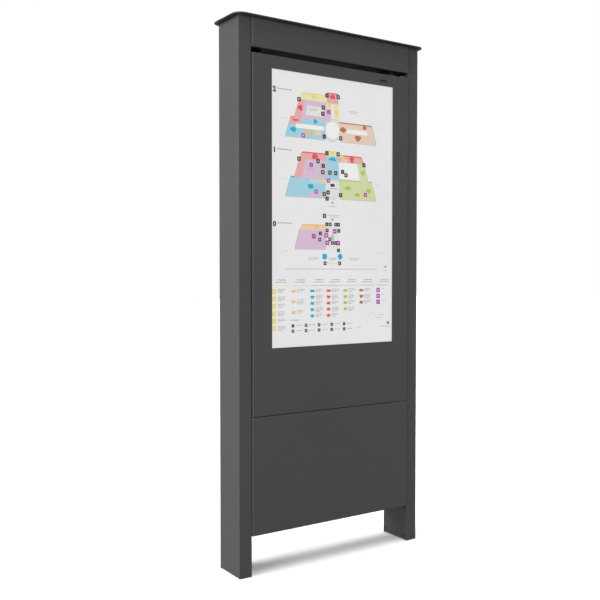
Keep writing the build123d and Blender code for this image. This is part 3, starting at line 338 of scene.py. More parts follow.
# ---- one function for each finish ----
DUST = (0.45, 0.44, 0.42)
CAUGHT_DUST = (0.34, 0.33, 0.31)
RUBBED_STEEL = (0.14, 0.135, 0.13)
GOLD_PAD = (0.55, 0.45, 0.22)
# Darkening of the bronze: partly its oil, partly painted shade so the bushes catch little light in the slot.
OIL_AND_SHADE_TONE = 0.45
SOLDER_MASK_TONE = 0.35


def powder_coat(name, base):
    """Matt powder coat: fine grain over a soft orange peel, a little handling sheen and dust."""
    finish = Finish(name, specular=0.35)
    broad = finish.noise(2.2, detail=4.0)
    grain = finish.noise(1400.0, detail=2.0)
    tone = finish.blend(finish.spread(broad, 0.0, 1.0), shade(base, 0.95), shade(base, 1.05))
    tone = finish.blend(finish.spread(grain, 0.0, 0.35), tone, shade(base, 1.25))
    normal = finish.node("ShaderNodeNewGeometry").outputs["Normal"]
    upward = finish.spread(finish.along("Z", normal), 0.0, 0.10, start=0.6, end=1.0)
    dust = finish.maths("MULTIPLY", upward, finish.spread(finish.noise(35.0, detail=6.0), 0.2, 1.0))
    finish.colour(finish.blend(dust, tone, DUST))
    finish.roughness(finish.spread(finish.noise(7.0, detail=5.0), 0.46, 0.56))
    finish.bump(finish.noise(420.0, detail=1.0), 0.00006, 0.5)
    finish.bump(grain, 0.00003, 0.6)
    return finish.material


def zinc_plate(name, base):
    """Bright zinc plate: a faint spangle and rolled streaks, slightly blue and slightly straw."""
    finish = Finish(name, metallic=1.0)
    spangle = finish.cells(95.0, output="Color")
    streaks = finish.noise(60.0, detail=4.0, place=finish.stretched((14.0, 14.0, 0.6)))
    cool, warm = shade(base, 0.88), (base[0] * 1.05, base[1] * 1.02, base[2] * 0.93)
    tone = finish.blend(finish.spread(spangle, 0.0, 1.0, 0.2, 0.8), cool, warm)
    finish.colour(finish.blend(finish.spread(finish.noise(5.0), 0.0, 0.4), tone, shade(base, 0.75)))
    finish.roughness(finish.spread(streaks, 0.30, 0.48))
    finish.bump(streaks, 0.00002, 0.4)
    return finish.material


def oxide_steel(name, base):
    """Black oxide on machined steel, rubbed a little thinner in places."""
    finish = Finish(name, metallic=0.85)
    rubbed = finish.noise(260.0, detail=5.0)
    finish.colour(finish.blend(finish.spread(rubbed, 0.0, 0.5, 0.5, 0.8), base[:3], RUBBED_STEEL))
    finish.roughness(finish.spread(finish.noise(600.0), 0.32, 0.52))
    finish.bump(finish.noise(1800.0), 0.00001, 0.5)
    return finish.material


def satin_steel(name, base):
    """Stainless steel with a fine turned or brushed grain."""
    finish = Finish(name, metallic=1.0)
    brushed = finish.noise(90.0, detail=5.0, place=finish.stretched((1.0, 1.0, 28.0)))
    finish.colour(finish.blend(finish.spread(brushed, 0.0, 1.0), shade(base, 0.86), shade(base, 1.04)))
    finish.roughness(finish.spread(brushed, 0.24, 0.38))
    finish.bump(brushed, 0.00001, 0.5)
    return finish.material


def sintered_bronze(name, base):
    """Sintered bronze, darkened overall: partly by its oil, partly as painted shade that keeps the bushes
    dark in the slot.
    """
    finish = Finish(name, metallic=1.0)
    # Painted shade, together with the oil's darkening: the whole colour is made darker.
    base = shade(base, OIL_AND_SHADE_TONE)
    pores = finish.cells(1500.0)
    finish.colour(finish.blend(finish.spread(pores, 0.0, 1.0, 0.15, 0.4), shade(base, 0.35), base[:3]))
    finish.roughness(finish.spread(finish.noise(300.0), 0.35, 0.5))
    finish.bump(pores, 0.00003, 0.5)
    return finish.material


def rubber(name, base):
    """Matt rubber with a dry bloom."""
    finish = Finish(name, specular=0.3)
    bloom = finish.noise(55.0, detail=6.0)
    finish.colour(finish.blend(finish.spread(bloom, 0.0, 0.6), base[:3], shade(base, 2.4)))
    finish.roughness(finish.spread(bloom, 0.68, 0.86))
    finish.bump(finish.noise(900.0, detail=3.0), 0.00004, 0.5)
    return finish.material


def foam(name, base):
    """Closed-cell acrylic foam: small open cells along its cut edge."""
    finish = Finish(name, specular=0.2)
    cells = finish.cells(1100.0)
    finish.colour(finish.blend(finish.spread(cells, 0.0, 1.0, 0.1, 0.5), shade(base, 0.5), shade(base, 1.6)))
    finish.roughness(finish.spread(finish.noise(80.0), 0.85, 0.95))
    finish.bump(cells, 0.0001, 0.7)
    return finish.material


def moulded_plastic(name, base, rough=(0.48, 0.60), flow=0.06):
    """Moulded plastic with a spark-eroded grain and faint flow marks."""
    finish = Finish(name, specular=0.45)
    marks = finish.noise(14.0, detail=3.0, place=finish.stretched((1.0, 1.0, 3.0)))
    tone = finish.blend(finish.spread(marks, 0.0, 1.0), shade(base, 1.0 - flow), shade(base, 1.0 + flow))
    grain = finish.noise(1700.0, detail=2.0)
    finish.colour(finish.blend(finish.spread(grain, 0.0, 0.2), tone, shade(base, 1.3)))
    finish.roughness(finish.spread(finish.noise(30.0, detail=5.0), *rough))
    finish.bump(grain, 0.00004, 0.5)
    return finish.material


def glossy_plastic(name, base):
    """Polished moulded plastic: the same grain, smoother and with fainter flow marks."""
    return moulded_plastic(name, base, rough=(0.16, 0.30), flow=0.04)


def anodised(name, base):
    """Black anodised aluminium with the extrusion's fine drawn lines."""
    finish = Finish(name, metallic=0.9)
    drawn = finish.noise(120.0, detail=5.0, place=finish.stretched((10.0, 10.0, 0.3)))
    finish.colour(finish.blend(finish.spread(drawn, 0.0, 1.0), shade(base, 0.8), shade(base, 1.35)))
    finish.roughness(finish.spread(drawn, 0.36, 0.50))
    finish.bump(drawn, 0.00002, 0.5)
    return finish.material


def jacket(name, base):
    """Soft PVC cable jacket: satin, with dull rub marks."""
    finish = Finish(name, specular=0.4)
    rub = finish.noise(70.0, detail=6.0)
    finish.colour(finish.blend(finish.spread(rub, 0.0, 0.5, 0.5, 0.75), base[:3], shade(base, 2.2)))
    finish.roughness(finish.spread(rub, 0.38, 0.58))
    finish.bump(finish.noise(500.0, detail=2.0), 0.00004, 0.4)
    return finish.material


def cover_glass(name, base):
    """Clear cover glass: it mirrors at a slant, from its outside, with the faint haze of finger marks."""
    finish = Finish(name)
    tree = finish.tree
    clear = finish.node("ShaderNodeBsdfTransparent", Color=(0.985, 0.985, 0.98, 1.0))
    mirror = finish.node("ShaderNodeBsdfGlossy", Color=(0.96, 0.96, 0.96, 1.0))
    smears = finish.noise(9.0, detail=7.0, rough=0.7, place=finish.stretched((1.0, 1.0, 0.55)))
    finish.link(finish.spread(smears, 0.02, 0.16, 0.45, 0.75), mirror.inputs["Roughness"])
    edge = finish.node("ShaderNodeFresnel", IOR=1.45)
    behind = tree.nodes.new("ShaderNodeNewGeometry").outputs["Backfacing"]
    share = finish.maths("MULTIPLY", edge.outputs["Fac"], finish.maths("SUBTRACT", 1.0, behind))
    mix = tree.nodes.new("ShaderNodeMixShader")
    finish.link(share, mix.inputs["Fac"])
    finish.link(clear.outputs["BSDF"], mix.inputs[1])
    finish.link(mirror.outputs["BSDF"], mix.inputs[2])
    finish.link(mix.outputs["Shader"], tree.nodes["Material Output"].inputs["Surface"])
    tree.nodes.remove(finish.shader)
    return finish.material


def smoked_lens(name, base):
    """Smoked acrylic, polished, its tint a little uneven."""
    finish = Finish(name, specular=0.6)
    tint = finish.noise(120.0, detail=2.0)
    finish.colour(finish.blend(finish.spread(tint, 0.0, 1.0), shade(base, 0.7), shade(base, 1.8)))
    finish.roughness(finish.spread(finish.noise(400.0, detail=4.0), 0.05, 0.12))
    finish.bump(tint, 0.00001, 0.3)
    return finish.material


def lit_ink(name, base):
    """A colour on the display, lit from its front only, with an uneven backlight and the pixels' grid."""
    finish = Finish(name, specular=0.2)
    finish.shader.inputs["Roughness"].default_value = 0.55
    cloud = finish.noise(3.0, detail=2.0)
    lit = finish.blend(finish.spread(cloud, 0.0, 1.0), shade(base, 0.985), shade(base, 1.015))
    grid = finish.bricks(Brick_Width=PIXEL_PITCH, Row_Height=PIXEL_PITCH, Mortar_Size=PIXEL_PITCH * 0.09)
    grid.inputs["Mortar Smooth"].default_value = 0.3
    grid.offset = 0.0
    lit = finish.blend(finish.spread(grid.outputs["Fac"], 0.0, 0.06, 0.0, 1.0), lit, shade(base, 0.5))
    depth = finish.along("Y", finish.place)
    front = finish.maths("LESS_THAN", depth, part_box("display_panel")[0].y + DISPLAY_SKIN)
    lit = finish.blend(front, (0.0, 0.0, 0.0), lit)
    finish.colour(finish.blend(finish.spread(cloud, 0.0, 1.0), shade(base, 0.18), shade(base, 0.20)))
    finish.link(lit, finish.shader.inputs["Emission Color"])
    finish.shader.inputs["Emission Strength"].default_value = DISPLAY_LIGHT
    return finish.material


def circuit_board(name, base):
    """Green solder mask over copper: tracks and pads."""
    finish = Finish(name, specular=0.5)
    base = shade(base, SOLDER_MASK_TONE)
    tracks = finish.bricks(Brick_Width=11.0 * MM, Row_Height=2.2 * MM, Mortar_Size=0.3 * MM)
    pads = finish.spread(finish.cells(260.0), 1.0, 0.0, 0.10, 0.16)
    tone = finish.blend(tracks.outputs["Fac"], base[:3], shade(base, 1.9))
    finish.colour(finish.blend(pads, tone, GOLD_PAD))
    finish.roughness(finish.spread(finish.noise(50.0), 0.30, 0.45))
    finish.bump(tracks.outputs["Fac"], 0.00004, 0.5)
    return finish.material


def fibre(name, base):
    """White non-woven fibre, greyed where it has caught dust."""
    finish = Finish(name, specular=0.15)
    strands = finish.noise(500.0, detail=6.0, rough=0.75, place=finish.stretched((1.0, 0.5, 2.2)))
    dusty = finish.noise(11.0, detail=6.0)
    tone = finish.blend(finish.spread(strands, 0.0, 1.0), shade(base, 0.72), shade(base, 1.12))
    finish.colour(finish.blend(finish.spread(dusty, 0.0, 0.45, 0.4, 0.75), tone, CAUGHT_DUST))
    finish.roughness(finish.spread(strands, 0.85, 1.0))
    finish.bump(strands, 0.0005, 0.8)
    return finish.material


FINISHES = {
    "powder_coat": powder_coat,
    "zinc_plate": zinc_plate,
    "black_screws": oxide_steel,
    "stainless": satin_steel,
    "bronze": sintered_bronze,
    "rubber_seal": rubber,
    "foam_tape": foam,
    "black_plastic": moulded_plastic,
    "grey_plastic": moulded_plastic,
    "red_plastic": glossy_plastic,
    "black_aluminium": anodised,
    "cable_jacket": jacket,
    "cover_glass": cover_glass,
    "sensor_lens": smoked_lens,
    "display_face": lit_ink,
    "circuit_board": circuit_board,
    "filter_fibre": fibre,
}


def make_finishes():
    """The record's slots and their materials."""
    made = {}
    for entry in frame["record"]["materials"]:
        made[entry["slot"]] = FINISHES[entry["slot"]](entry["slot"], tuple(entry["base_color"]))
    return made


def dress_cad(finishes):
    """Gives each CAD node the finish of its slot."""
    for name, piece in frame["nodes"].items():
        piece.data.materials.clear()
        piece.data.materials.append(finishes[SLOT_OF[name]])


def make_floor():
    """A plain pale floor."""
    mesh = bpy.data.meshes.new("floor")
    corners = [(x * FLOOR_HALF, y * FLOOR_HALF, 0) for x, y in ((-1, -1), (1, -1), (1, 1), (-1, 1))]
    mesh.from_pydata(corners, [], [(0, 1, 2, 3)])
    floor = bpy.data.objects.new("floor", mesh)
    finish = Finish("pale_floor", specular=0.0)
    pale = finish.blend(finish.noise(0.7, detail=4.0), (0.92, 0.92, 0.92), (0.95, 0.95, 0.95))
    seen = finish.tree.nodes.new("ShaderNodeLightPath").outputs["Is Camera Ray"]
    finish.colour(finish.blend(seen, (FLOOR_BOUNCE,) * 3, pale))
    finish.shader.inputs["Emission Color"].default_value = (1.0, 1.0, 1.0, 1.0)
    finish.link(finish.maths("MULTIPLY", seen, FLOOR_LIFT), finish.shader.inputs["Emission Strength"])
    finish.roughness(finish.spread(finish.noise(12.0), 0.8, 0.9))
    mesh.materials.append(finish.material)
    bpy.context.scene.collection.objects.link(floor)


# ---- mesh helpers ----
def turned(u, v, across, down, share):
    """A point on an oval, at a share of a full turn."""
    angle = 2 * math.pi * share
    return (u + across * math.cos(angle), v + down * math.sin(angle))


def rings(u, v, profile, points):
    """Rings of points about an axis, from the radii and heights of a profile."""
    made = []
    for radius, height in profile:
        ring = [turned(u, v, radius, radius, index / points) for index in range(points)]
        made.append([(*point, height) for point in ring])
    return made


def closed_skin(mesh, rows):
    """Faces between neighbouring rings of points, and one over each end."""
    made = [[mesh.verts.new(point) for point in row] for row in rows]
    count = len(made[0])
    for near, far in zip(made, made[1:]):
        for index in range(count):
            after = (index + 1) % count
            mesh.faces.new((near[index], near[after], far[after], far[index]))
    mesh.faces.new(made[0])
    mesh.faces.new(made[-1])


def new_piece(name, mesh, body, material):
    """A bmesh made into a piece of the kiosk, on its body and with its finish."""
    bmesh.ops.recalc_face_normals(mesh, faces=mesh.faces)
    made = bpy.data.meshes.new(name)
    mesh.to_mesh(made)
    mesh.free()
    made.materials.append(material)
    piece = bpy.data.objects.new(name, made)
    bpy.context.scene.collection.objects.link(piece)
    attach(piece, body)
    return piece


# ---- the lit page ----
INKS = {
    "yellow": (0.75, 0.68, 0.42),
    "strong_yellow": (0.73, 0.62, 0.15),
    "orange": (0.76, 0.55, 0.38),
    "strong_orange": (0.75, 0.48, 0.20),
    "red": (0.72, 0.38, 0.38),
    "strong_red": (0.70, 0.09, 0.09),
    "purple": (0.62, 0.47, 0.60),
    "strong_purple": (0.40, 0.06, 0.36),
    "blue": (0.34, 0.58, 0.68),
    "strong_blue": (0.01, 0.38, 0.58),
    "green": (0.58, 0.64, 0.35),
    "strong_green": (0.40, 0.50, 0.08),
    "sand": (0.72, 0.56, 0.46),
    "strong_brown": (0.42, 0.15, 0.07),
    "white": (0.80, 0.80, 0.80),
    "mist": (0.70, 0.70, 0.71),
    "shadow": (0.48, 0.48, 0.48),
    "lettering": (0.30, 0.30, 0.30),
    "black": (0.045, 0.045, 0.045),
}


class Page:
    """Thin shapes between the display and the glass, gathered in one mesh for each ink."""

    def __init__(self):
        glass_low, glass_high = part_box("touch_glass")
        page_low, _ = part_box("display_panel")
        self.left = glass_low.x + WINDOW_SIDE * MM
        self.top = glass_high.z - WINDOW_TOP * MM
        self.back = page_low.y
        self.layer_depth = (page_low.y - glass_high.y) / (PAGE_LAYERS + 1)
        self.inks = {}

    def shape(self, ink, layer, outline):
        """A flat shape with the given outline, one layer thick."""
        rows = []
        for depth in (layer + LAYER_START, layer + LAYER_END):
            y = self.back - depth * self.layer_depth
            rows.append([(self.left + u * MM, y, self.top - v * MM) for u, v in outline])
        closed_skin(self.inks.setdefault(ink, bmesh.new()), rows)

    def bar(self, ink, layer, u, v, width, height):
        """A rectangle, from its top left corner."""
        self.shape(ink, layer, [(u, v), (u + width, v), (u + width, v + height), (u, v + height)])

    def disc(self, ink, layer, u, v, radius, points):
        """A disc about its middle."""
        self.shape(ink, layer, [turned(u, v, radius, radius, index / points) for index in range(points)])

    def ring(self, ink, layer, u, v, radius, width, points, start=0.0, end=1.0):
        """A ring or part of one, from start to end of a full turn."""
        shares = [start + (end - start) * index / points for index in range(points + 1)]
        outer = [turned(u, v, radius, radius, share) for share in shares]
        inner = [turned(u, v, radius - width, radius - width, share) for share in shares]
        for index in range(points):
            after = index + 1
            self.shape(ink, layer, [outer[index], outer[after], inner[after], inner[index]])

    def plaque(self, ink, layer, u, v, size):
        """A square with rounded corners about its middle."""
        radius = size * BADGE_ROUNDING
        reach = size / 2 - radius
        outline = []
        for quarter, (side_u, side_v) in enumerate(((1, 1), (-1, 1), (-1, -1), (1, -1))):
            for step in range(5):
                share = (quarter + step / 4) / 4
                outline.append(turned(u + side_u * reach, v + side_v * reach, radius, radius, share))
        self.shape(ink, layer, outline)

    def blob(self, ink, layer, u, v, across, down, lobes, depth, turn, points=36):
        """A rounded shape with soft lobes, for a marker of no particular kind."""
        outline = []
        for index in range(points):
            share = index / points
            swell = 1 + depth * math.cos(2 * math.pi * lobes * share + turn)
            outline.append(turned(u, v, across / 2 * swell, down / 2 * swell, share))
        self.shape(ink, layer, outline)

    def finish(self, inks):
        """Makes one piece of each ink's shapes."""
        for ink, mesh in self.inks.items():
            new_piece("page_" + ink, mesh, "front_door", inks[ink])


def words(page, u, v, width, height=WORD_HEIGHT):
    """A line of small bars in place of words."""
    at = u
    while at < u + width - 2:
        length = min(RANDOM.uniform(5, 15), u + width - at)
        page.bar("lettering", BADGE, at, v, length, height * RANDOM.uniform(0.7, 1.0))
        at += length + WORD_GAP


def paragraph(page, u, v, width, lines, pitch=5.2):
    """Several short lines of bars, the last one shorter."""
    for line in range(lines):
        share = RANDOM.uniform(0.75, 1.0) if line < lines - 1 else RANDOM.uniform(0.4, 0.7)
        words(page, u, v + line * pitch, width * share, SMALL_WORD_HEIGHT)


def numeral(page, text, u, v, height):
    """A plain storey number, from its bottom left corner."""
    curve = bpy.data.curves.new("numeral", "FONT")
    curve.body = text
    curve.size = height / NUMERAL_SHARE * MM
    curve.offset = NUMERAL_WEIGHT * MM
    curve.extrude = page.layer_depth * (LAYER_END - LAYER_START) / 2
    source = bpy.data.objects.new("numeral", curve)
    flat = bpy.data.meshes.new_from_object(source)
    middle = page.back - (BADGE + 0.5) * page.layer_depth
    place = Matrix.Translation((page.left + u * MM, middle, page.top - v * MM))
    flat.transform(place @ Matrix.Rotation(math.radians(90), 4, "X"))
    page.inks.setdefault("black", bmesh.new()).from_mesh(flat)
    bpy.data.objects.remove(source)
    bpy.data.meshes.remove(flat)


def badge(page, u, v, ink="black", size=BADGE_SIZE, sign=0):
    """A small square marker with one of five signs: steps, posts, a ring, a peak, or a dot over a bar."""
    page.plaque(ink, BADGE, u, v, size)
    part = size / BADGE_UNITS
    sign = sign % 5
    if sign == 0:
        for step in range(3):
            left, top = u - (5 - 3 * step) * part, v + (3 - 3 * step) * part
            page.bar("white", GLYPH, left, top, 3.4 * part, 2 * part)
    elif sign == 1:
        for left in (u - 4 * part, u + 1 * part):
            page.bar("white", GLYPH, left, v - 5 * part, 3 * part, 10 * part)
    elif sign == 2:
        page.ring("white", GLYPH, u, v, 5 * part, 2 * part, points=16)
    elif sign == 3:
        low, half = v + 3 * part, 5 * part
        page.shape("white", GLYPH, [(u - half, low), (u, v - half), (u + half, low)])
    else:
        page.bar("white", GLYPH, u - 5 * part, v - 1.2 * part, 10 * part, 2.4 * part)
        page.disc("white", SPECK, u, v - 3.8 * part, 1.5 * part, points=12)


def leader(page, u, v, flip=1):
    """The grey squiggle beside a plan where a stair leads off it."""
    for step in range(6):
        start, end = (u + flip * place * SQUIGGLE_STEP for place in (step, step + 1))
        first, last = (v + SQUIGGLE_SWING * math.sin(place) for place in (step, step + 1))
        lower = [(end, last + SQUIGGLE_WIDTH), (start, first + SQUIGGLE_WIDTH)]
        page.shape("shadow", FLOOR, [(start, first), (end, last)] + lower)


class Plan:
    """One storey of a building plan, simplified to a grid of columns and rows that is seen at a slant."""

    def __init__(self, page, name, top):
        self.page = page
        self.top = top
        numeral(page, name, 9, top + 12, 19)
        words(page, 30, top - 3, 66, height=4.5)

    def spot(self, column, row):
        """The place on the page of a point of the grid."""
        half = PLAN_BACK_HALF + PLAN_SLANT * row * ROW_PITCH
        return (PLAN_MIDDLE + (2 * column / PLAN_COLUMNS - 1) * half, self.top + row * ROW_PITCH)

    def outline(self, column, row, columns, rows, rounded):
        """The corners of an area, with one of its back corners rounded if it is the building's own."""
        back_left, back_right = self.spot(column, row), self.spot(column + columns, row)
        front = [self.spot(column + columns, row + rows), self.spot(column, row + rows)]
        left, right = [back_left], [back_right]
        if rounded == "left":
            middle = (back_left[0] + CORNER, back_left[1] + CORNER)
            left = self.rounded(middle, 0.5)
        if rounded == "right":
            middle = (back_right[0] - CORNER, back_right[1] + CORNER)
            right = self.rounded(middle, 0.75)
        return left + right + front

    def rounded(self, middle, start):
        """A quarter of a circle at a corner, from start of a full turn."""
        steps = range(CORNER_STEPS + 1)
        return [turned(*middle, CORNER, CORNER, start + step / CORNER_STEPS / 4) for step in steps]

    def wing(self, ink, column, row, columns, rows, rounded=""):
        """A coloured area, with its wall seen along the back and its shadow along the front."""
        outline = self.outline(column, row, columns, rows, rounded)
        strong = "strong_brown" if ink == "sand" else "strong_" + ink
        self.page.shape("shadow", SHADOW, [(u, v + SHADOW_DROP) for u, v in outline])
        self.page.shape(strong, WALL, [(u, v - WALL_RISE) for u, v in outline])
        self.page.shape(ink, FLOOR, [(u, v + FLOOR_DROP) for u, v in outline])

    def room(self, ink, column, row, columns, rows):
        """A plain area inside a wing."""
        self.page.shape(ink, ROOM, self.outline(column, row, columns, rows, ""))

    def marker(self, ink, column, row, across, down):
        """A soft blob of colour in place of a picture."""
        u, v = self.spot(column, row)
        self.page.blob(ink, BADGE, u, v, across, down, lobes=3 + int(row) % 2, depth=0.15, turn=u)

    def signs(self, ink, places, size=BADGE_SIZE):
        """Square badges at points of the grid."""
        for index, (column, row) in enumerate(places):
            badge(self.page, *self.spot(column, row), ink, size, sign=index)

    def hall(self, ink):
        """The round hall at the front, with its stair treads."""
        page = self.page
        u, v = self.spot(PLAN_COLUMNS / 2, HALL_ROW)
        page.disc("mist", WALL, u, v, HALL_RADIUS, HALL_POINTS)
        for radius, width in HALL_RINGS:
            page.ring("shadow", FLOOR, u, v, radius, width, HALL_POINTS)
        page.disc(ink, ROOM, u, v, HALL_FLOOR_RADIUS, HALL_POINTS)
        for quarter in STAIR_TURNS:
            for step in range(4):
                share = quarter + (step - 1.5) * TREAD_TURN
                near = turned(u, v, HALL_RADIUS, HALL_RADIUS, share)
                far = turned(u, v, STAIR_RADIUS, STAIR_RADIUS, share)
                beside = [(x + TREAD_WIDTH, y + TREAD_WIDTH) for x, y in (near, far)]
                page.shape("shadow", ROOM, [near, *beside, far])


def upper_plan(page):
    """The second storey: galleries round a court, and a long wing on each side of the hall."""
    plan = Plan(page, "2", 72)
    plan.wing("yellow", 0.5, 0, 4.5, 1, "left")
    plan.wing("red", 0.5, 1, 1, 3)
    plan.wing("purple", 1.5, 1, 3.5, 3)
    plan.room("mist", 2, 2, 2.5, 1.5)
    plan.wing("red", 5, -0.5, 2, 1.5)
    plan.wing("yellow", 5, 1, 0.8, 1)
    plan.wing("purple", 5, 2, 0.8, 2)
    plan.wing("yellow", 6.2, 1, 0.8, 3)
    plan.wing("red", 0, 4, 1.5, 1)
    plan.wing("blue", 1.5, 4, 3.5, 1)
    plan.wing("blue", 0, 5, 5, 2)
    plan.room("white", 1, 5, 3.8, 0.7)
    plan.wing("sand", 7, 4, 5, 3)
    plan.room("white", 8, 5, 3, 0.7)
    plan.hall("white")
    for ink, column, row, across, down in (
        ("strong_yellow", 2.8, 0.5, 18, 16),
        ("strong_yellow", 5.4, 1.5, 16, 15),
        ("strong_yellow", 6.6, 2.5, 15, 17),
        ("strong_red", 6, 0.1, 28, 18),
        ("strong_red", 1, 2.5, 22, 22),
        ("strong_red", 0.8, 4.5, 32, 8),
        ("strong_blue", 0.8, 6, 28, 20),
        ("strong_blue", 3.5, 4.4, 18, 18),
        ("strong_orange", 2.8, 6.2, 34, 22),
        ("orange", 4, 6.2, 34, 22),
        ("strong_brown", 7.5, 5.2, 32, 20),
        ("strong_brown", 9.5, 6.3, 30, 24),
        ("strong_brown", 10.8, 4.4, 18, 20),
    ):
        plan.marker(ink, column, row, across, down)
    plan.signs("black", ((5, 0), (7, 0), (0.5, 1.2), (4.5, 2), (4.5, 3), (4.9, 6.6), (7.1, 6.6)))
    plan.signs("strong_purple", ((5.4, 2.6), (2.2, 6.8)))
    for column, row in ((2.2, 2.4), (8.7, 2)):
        u, v = plan.spot(column, row)
        words(page, u, v, 46)
        words(page, u + 4, v + 6, 34)


def middle_plan(page):
    """The first storey: more wings round the same hall, and a way in at the front."""
    plan = Plan(page, "1", 305)
    plan.wing("red", 0.5, 0, 4.5, 1, "left")
    plan.wing("red", 0.5, 1, 1, 3)
    plan.wing("purple", 1.5, 1, 3.5, 3)
    plan.wing("blue", 5, 0, 2, 4)
    plan.wing("yellow", 5, -0.5, 2, 0.7)
    plan.wing("red", 7, 0, 4.5, 1, "right")
    plan.wing("green", 10.3, 1, 1.2, 3)
    plan.room("white", 7.2, 1.2, 2.9, 2.5)
    plan.wing("blue", 0, 4, 5, 3)
    plan.wing("yellow", 2.8, 4, 2.2, 0.7)
    plan.room("purple", 2.8, 6.4, 2.1, 0.6)
    plan.wing("green", 7, 4, 5, 3)
    plan.hall("mist")
    for ink, column, row, across, down in (
        ("strong_red", 3, 0.6, 30, 24),
        ("strong_red", 9.4, 0.6, 22, 26),
        ("strong_blue", 6, 0.8, 36, 14),
        ("strong_blue", 3, 5.4, 28, 20),
        ("strong_yellow", 6, -0.2, 18, 12),
        ("strong_yellow", 4.5, 4.4, 18, 16),
        ("strong_yellow", 7.6, 0.2, 20, 16),
        ("orange", 8, 0.9, 32, 20),
        ("strong_green", 10.9, 2.6, 22, 18),
        ("strong_green", 8.2, 5.3, 32, 16),
        ("strong_green", 9.4, 6.3, 28, 15),
        ("strong_green", 11.2, 5.5, 26, 16),
        ("black", 6, 5, 24, 13),
    ):
        plan.marker(ink, column, row, across, down)
    back_signs = ((5, -0.1), (7, -0.1), (0.5, 1.2), (3.6, 1.3), (11.4, 1.3))
    plan.signs("black", back_signs + ((4.5, 2), (4.5, 3), (5.6, 3), (6.5, 3)))
    plan.signs("black", ((7.6, 2.7), (8.1, 3.2), (4.9, 6.5), (5.4, 6.2), (7.1, 6.5), (5.3, 7.2)))
    plan.signs("strong_purple", ((2.6, 2), (5.4, 4.3), (3.8, 6.2), (10.6, 6.2)))
    for column, row in ((2.1, 2.7), (5.6, 5.5)):
        words(page, *plan.spot(column, row), 38)
    u, v = plan.spot(6, 7.6)
    arrow(page, u, v)
    words(page, u - 20, v + 20, 42)


def lower_plan(page):
    """The ground storey, with the outside steps below it."""
    plan = Plan(page, "0", 591)
    badge(page, 253, 555, sign=2)
    words(page, 266, 550, 64)
    words(page, 278, 557, 40)
    plan.wing("orange", 0.5, 0, 4.5, 0.8, "left")
    plan.wing("purple", 0.5, 0.8, 4.5, 3)
    plan.room("mist", 5, 0, 2, 3.8)
    plan.marker("strong_orange", 3.2, 0.4, 22, 16)
    plan.signs("black", ((5, -0.1), (5.6, -0.1), (6.6, -0.1), (7.1, -0.1), (5.1, 0.9), (7.1, 0.9)), 15)
    middle_signs = ((4, 1.4), (4, 2.4), (5.6, 2.3), (6, 2.9), (6.5, 2.9))
    plan.signs("black", middle_signs + ((6.9, 4.1), (5, 6.2), (7, 6.2)), 15)
    plan.signs("strong_purple", ((3, 1.9), (5, 1.7), (5.2, 2.9), (6.4, 1), (6.9, 2.9)), 19)
    arrow(page, *plan.spot(6, -0.7), up=-1)
    plan.marker("shadow", 6, 2, 18, 24)
    for column in (4.9, 7.1):
        plan.marker("strong_blue", column, 5.1, 24, 24)
    u, v = plan.spot(6, 4)
    for step in range(4):
        ink = "mist" if step % 2 else "shadow"
        page.ring(ink, WALL, u, v, 40 + 9 * step, 1.6, points=20, start=0.10, end=0.40)
    for column, wide in ((2.6, 54), (5.6, 34), (8.4, 54)):
        u, v = plan.spot(column, 5.3)
        words(page, u, v, wide)
        words(page, u + 4, v + 7, wide - 10)
    page.bar("shadow", WALL, 65, 768, 460, 3)
    arrow(page, 571, 753)
    words(page, 562, 773, 18)


def arrow(page, u, v, up=1):
    """A plain arrowhead, pointing up or down the page."""
    page.shape("black", BADGE, [(u - 8, v + 11 * up), (u, v), (u + 8, v + 11 * up), (u, v + 6 * up)])


def legend(page):
    """The seven columns of markers below the plans."""
    for ink, u, rows, pitch in (
        ("yellow", 10, 6, 29),
        ("orange", 100, 3, 42),
        ("blue", 190, 5, 25),
        ("red", 270, 5, 25),
        ("green", 355, 4, 25),
        ("brown", 438, 3, 25),
        ("purple", 530, 3, 25),
    ):
        strong = "strong_" + ink
        narrow = ink == "purple"
        words(page, u + 18, 811, 42, TITLE_HEIGHT)
        words(page, u + 10, 820, 52, TITLE_HEIGHT)
        page.bar(strong, BADGE, u - 5, 835, 56 if narrow else 80, 1.6)
        for row in range(rows):
            v = 857 + row * pitch
            if ink in ("yellow", "purple"):
                badge(page, u + 2, v, strong, size=19, sign=row + len(ink))
            else:
                page.blob(strong, BADGE, u + 4, v, 20, 13, lobes=2 + row, depth=0.2, turn=row)
            width, lines = (30, 1) if narrow else (38, 3 + row % 2)
            paragraph(page, u + 20, v - 8, width, lines)
    words(page, 92, 970, 42, TITLE_HEIGHT)
    for row in range(2):
        for column in range(5):
            u, v = 101 + column * 63, 994 + row * 21
            badge(page, u, v, size=13, sign=row + column)
            words(page, u + 14, v - 2, 30)
    page.ring("mist", FLOOR, 500, 975, 26, 9, points=24, start=0.5)
    paragraph(page, 528, 962, 44, 2, pitch=11)
    paragraph(page, 420, 1010, 40, 1)
    words(page, 540, 1010, 54)
    badge(page, 586, 997, size=11, sign=1)


def make_page():
    """A building's three storeys in plan, and the legend to its colours and signs."""
    page = Page()
    upper_plan(page)
    middle_plan(page)
    lower_plan(page)
    legend(page)
    for v in (181, 416, 700):
        leader(page, 45, v)
        leader(page, 545, v, flip=-1)
    inks = {ink: lit_ink("ink_" + ink, colour) for ink, colour in INKS.items()}
    page.finish(inks)


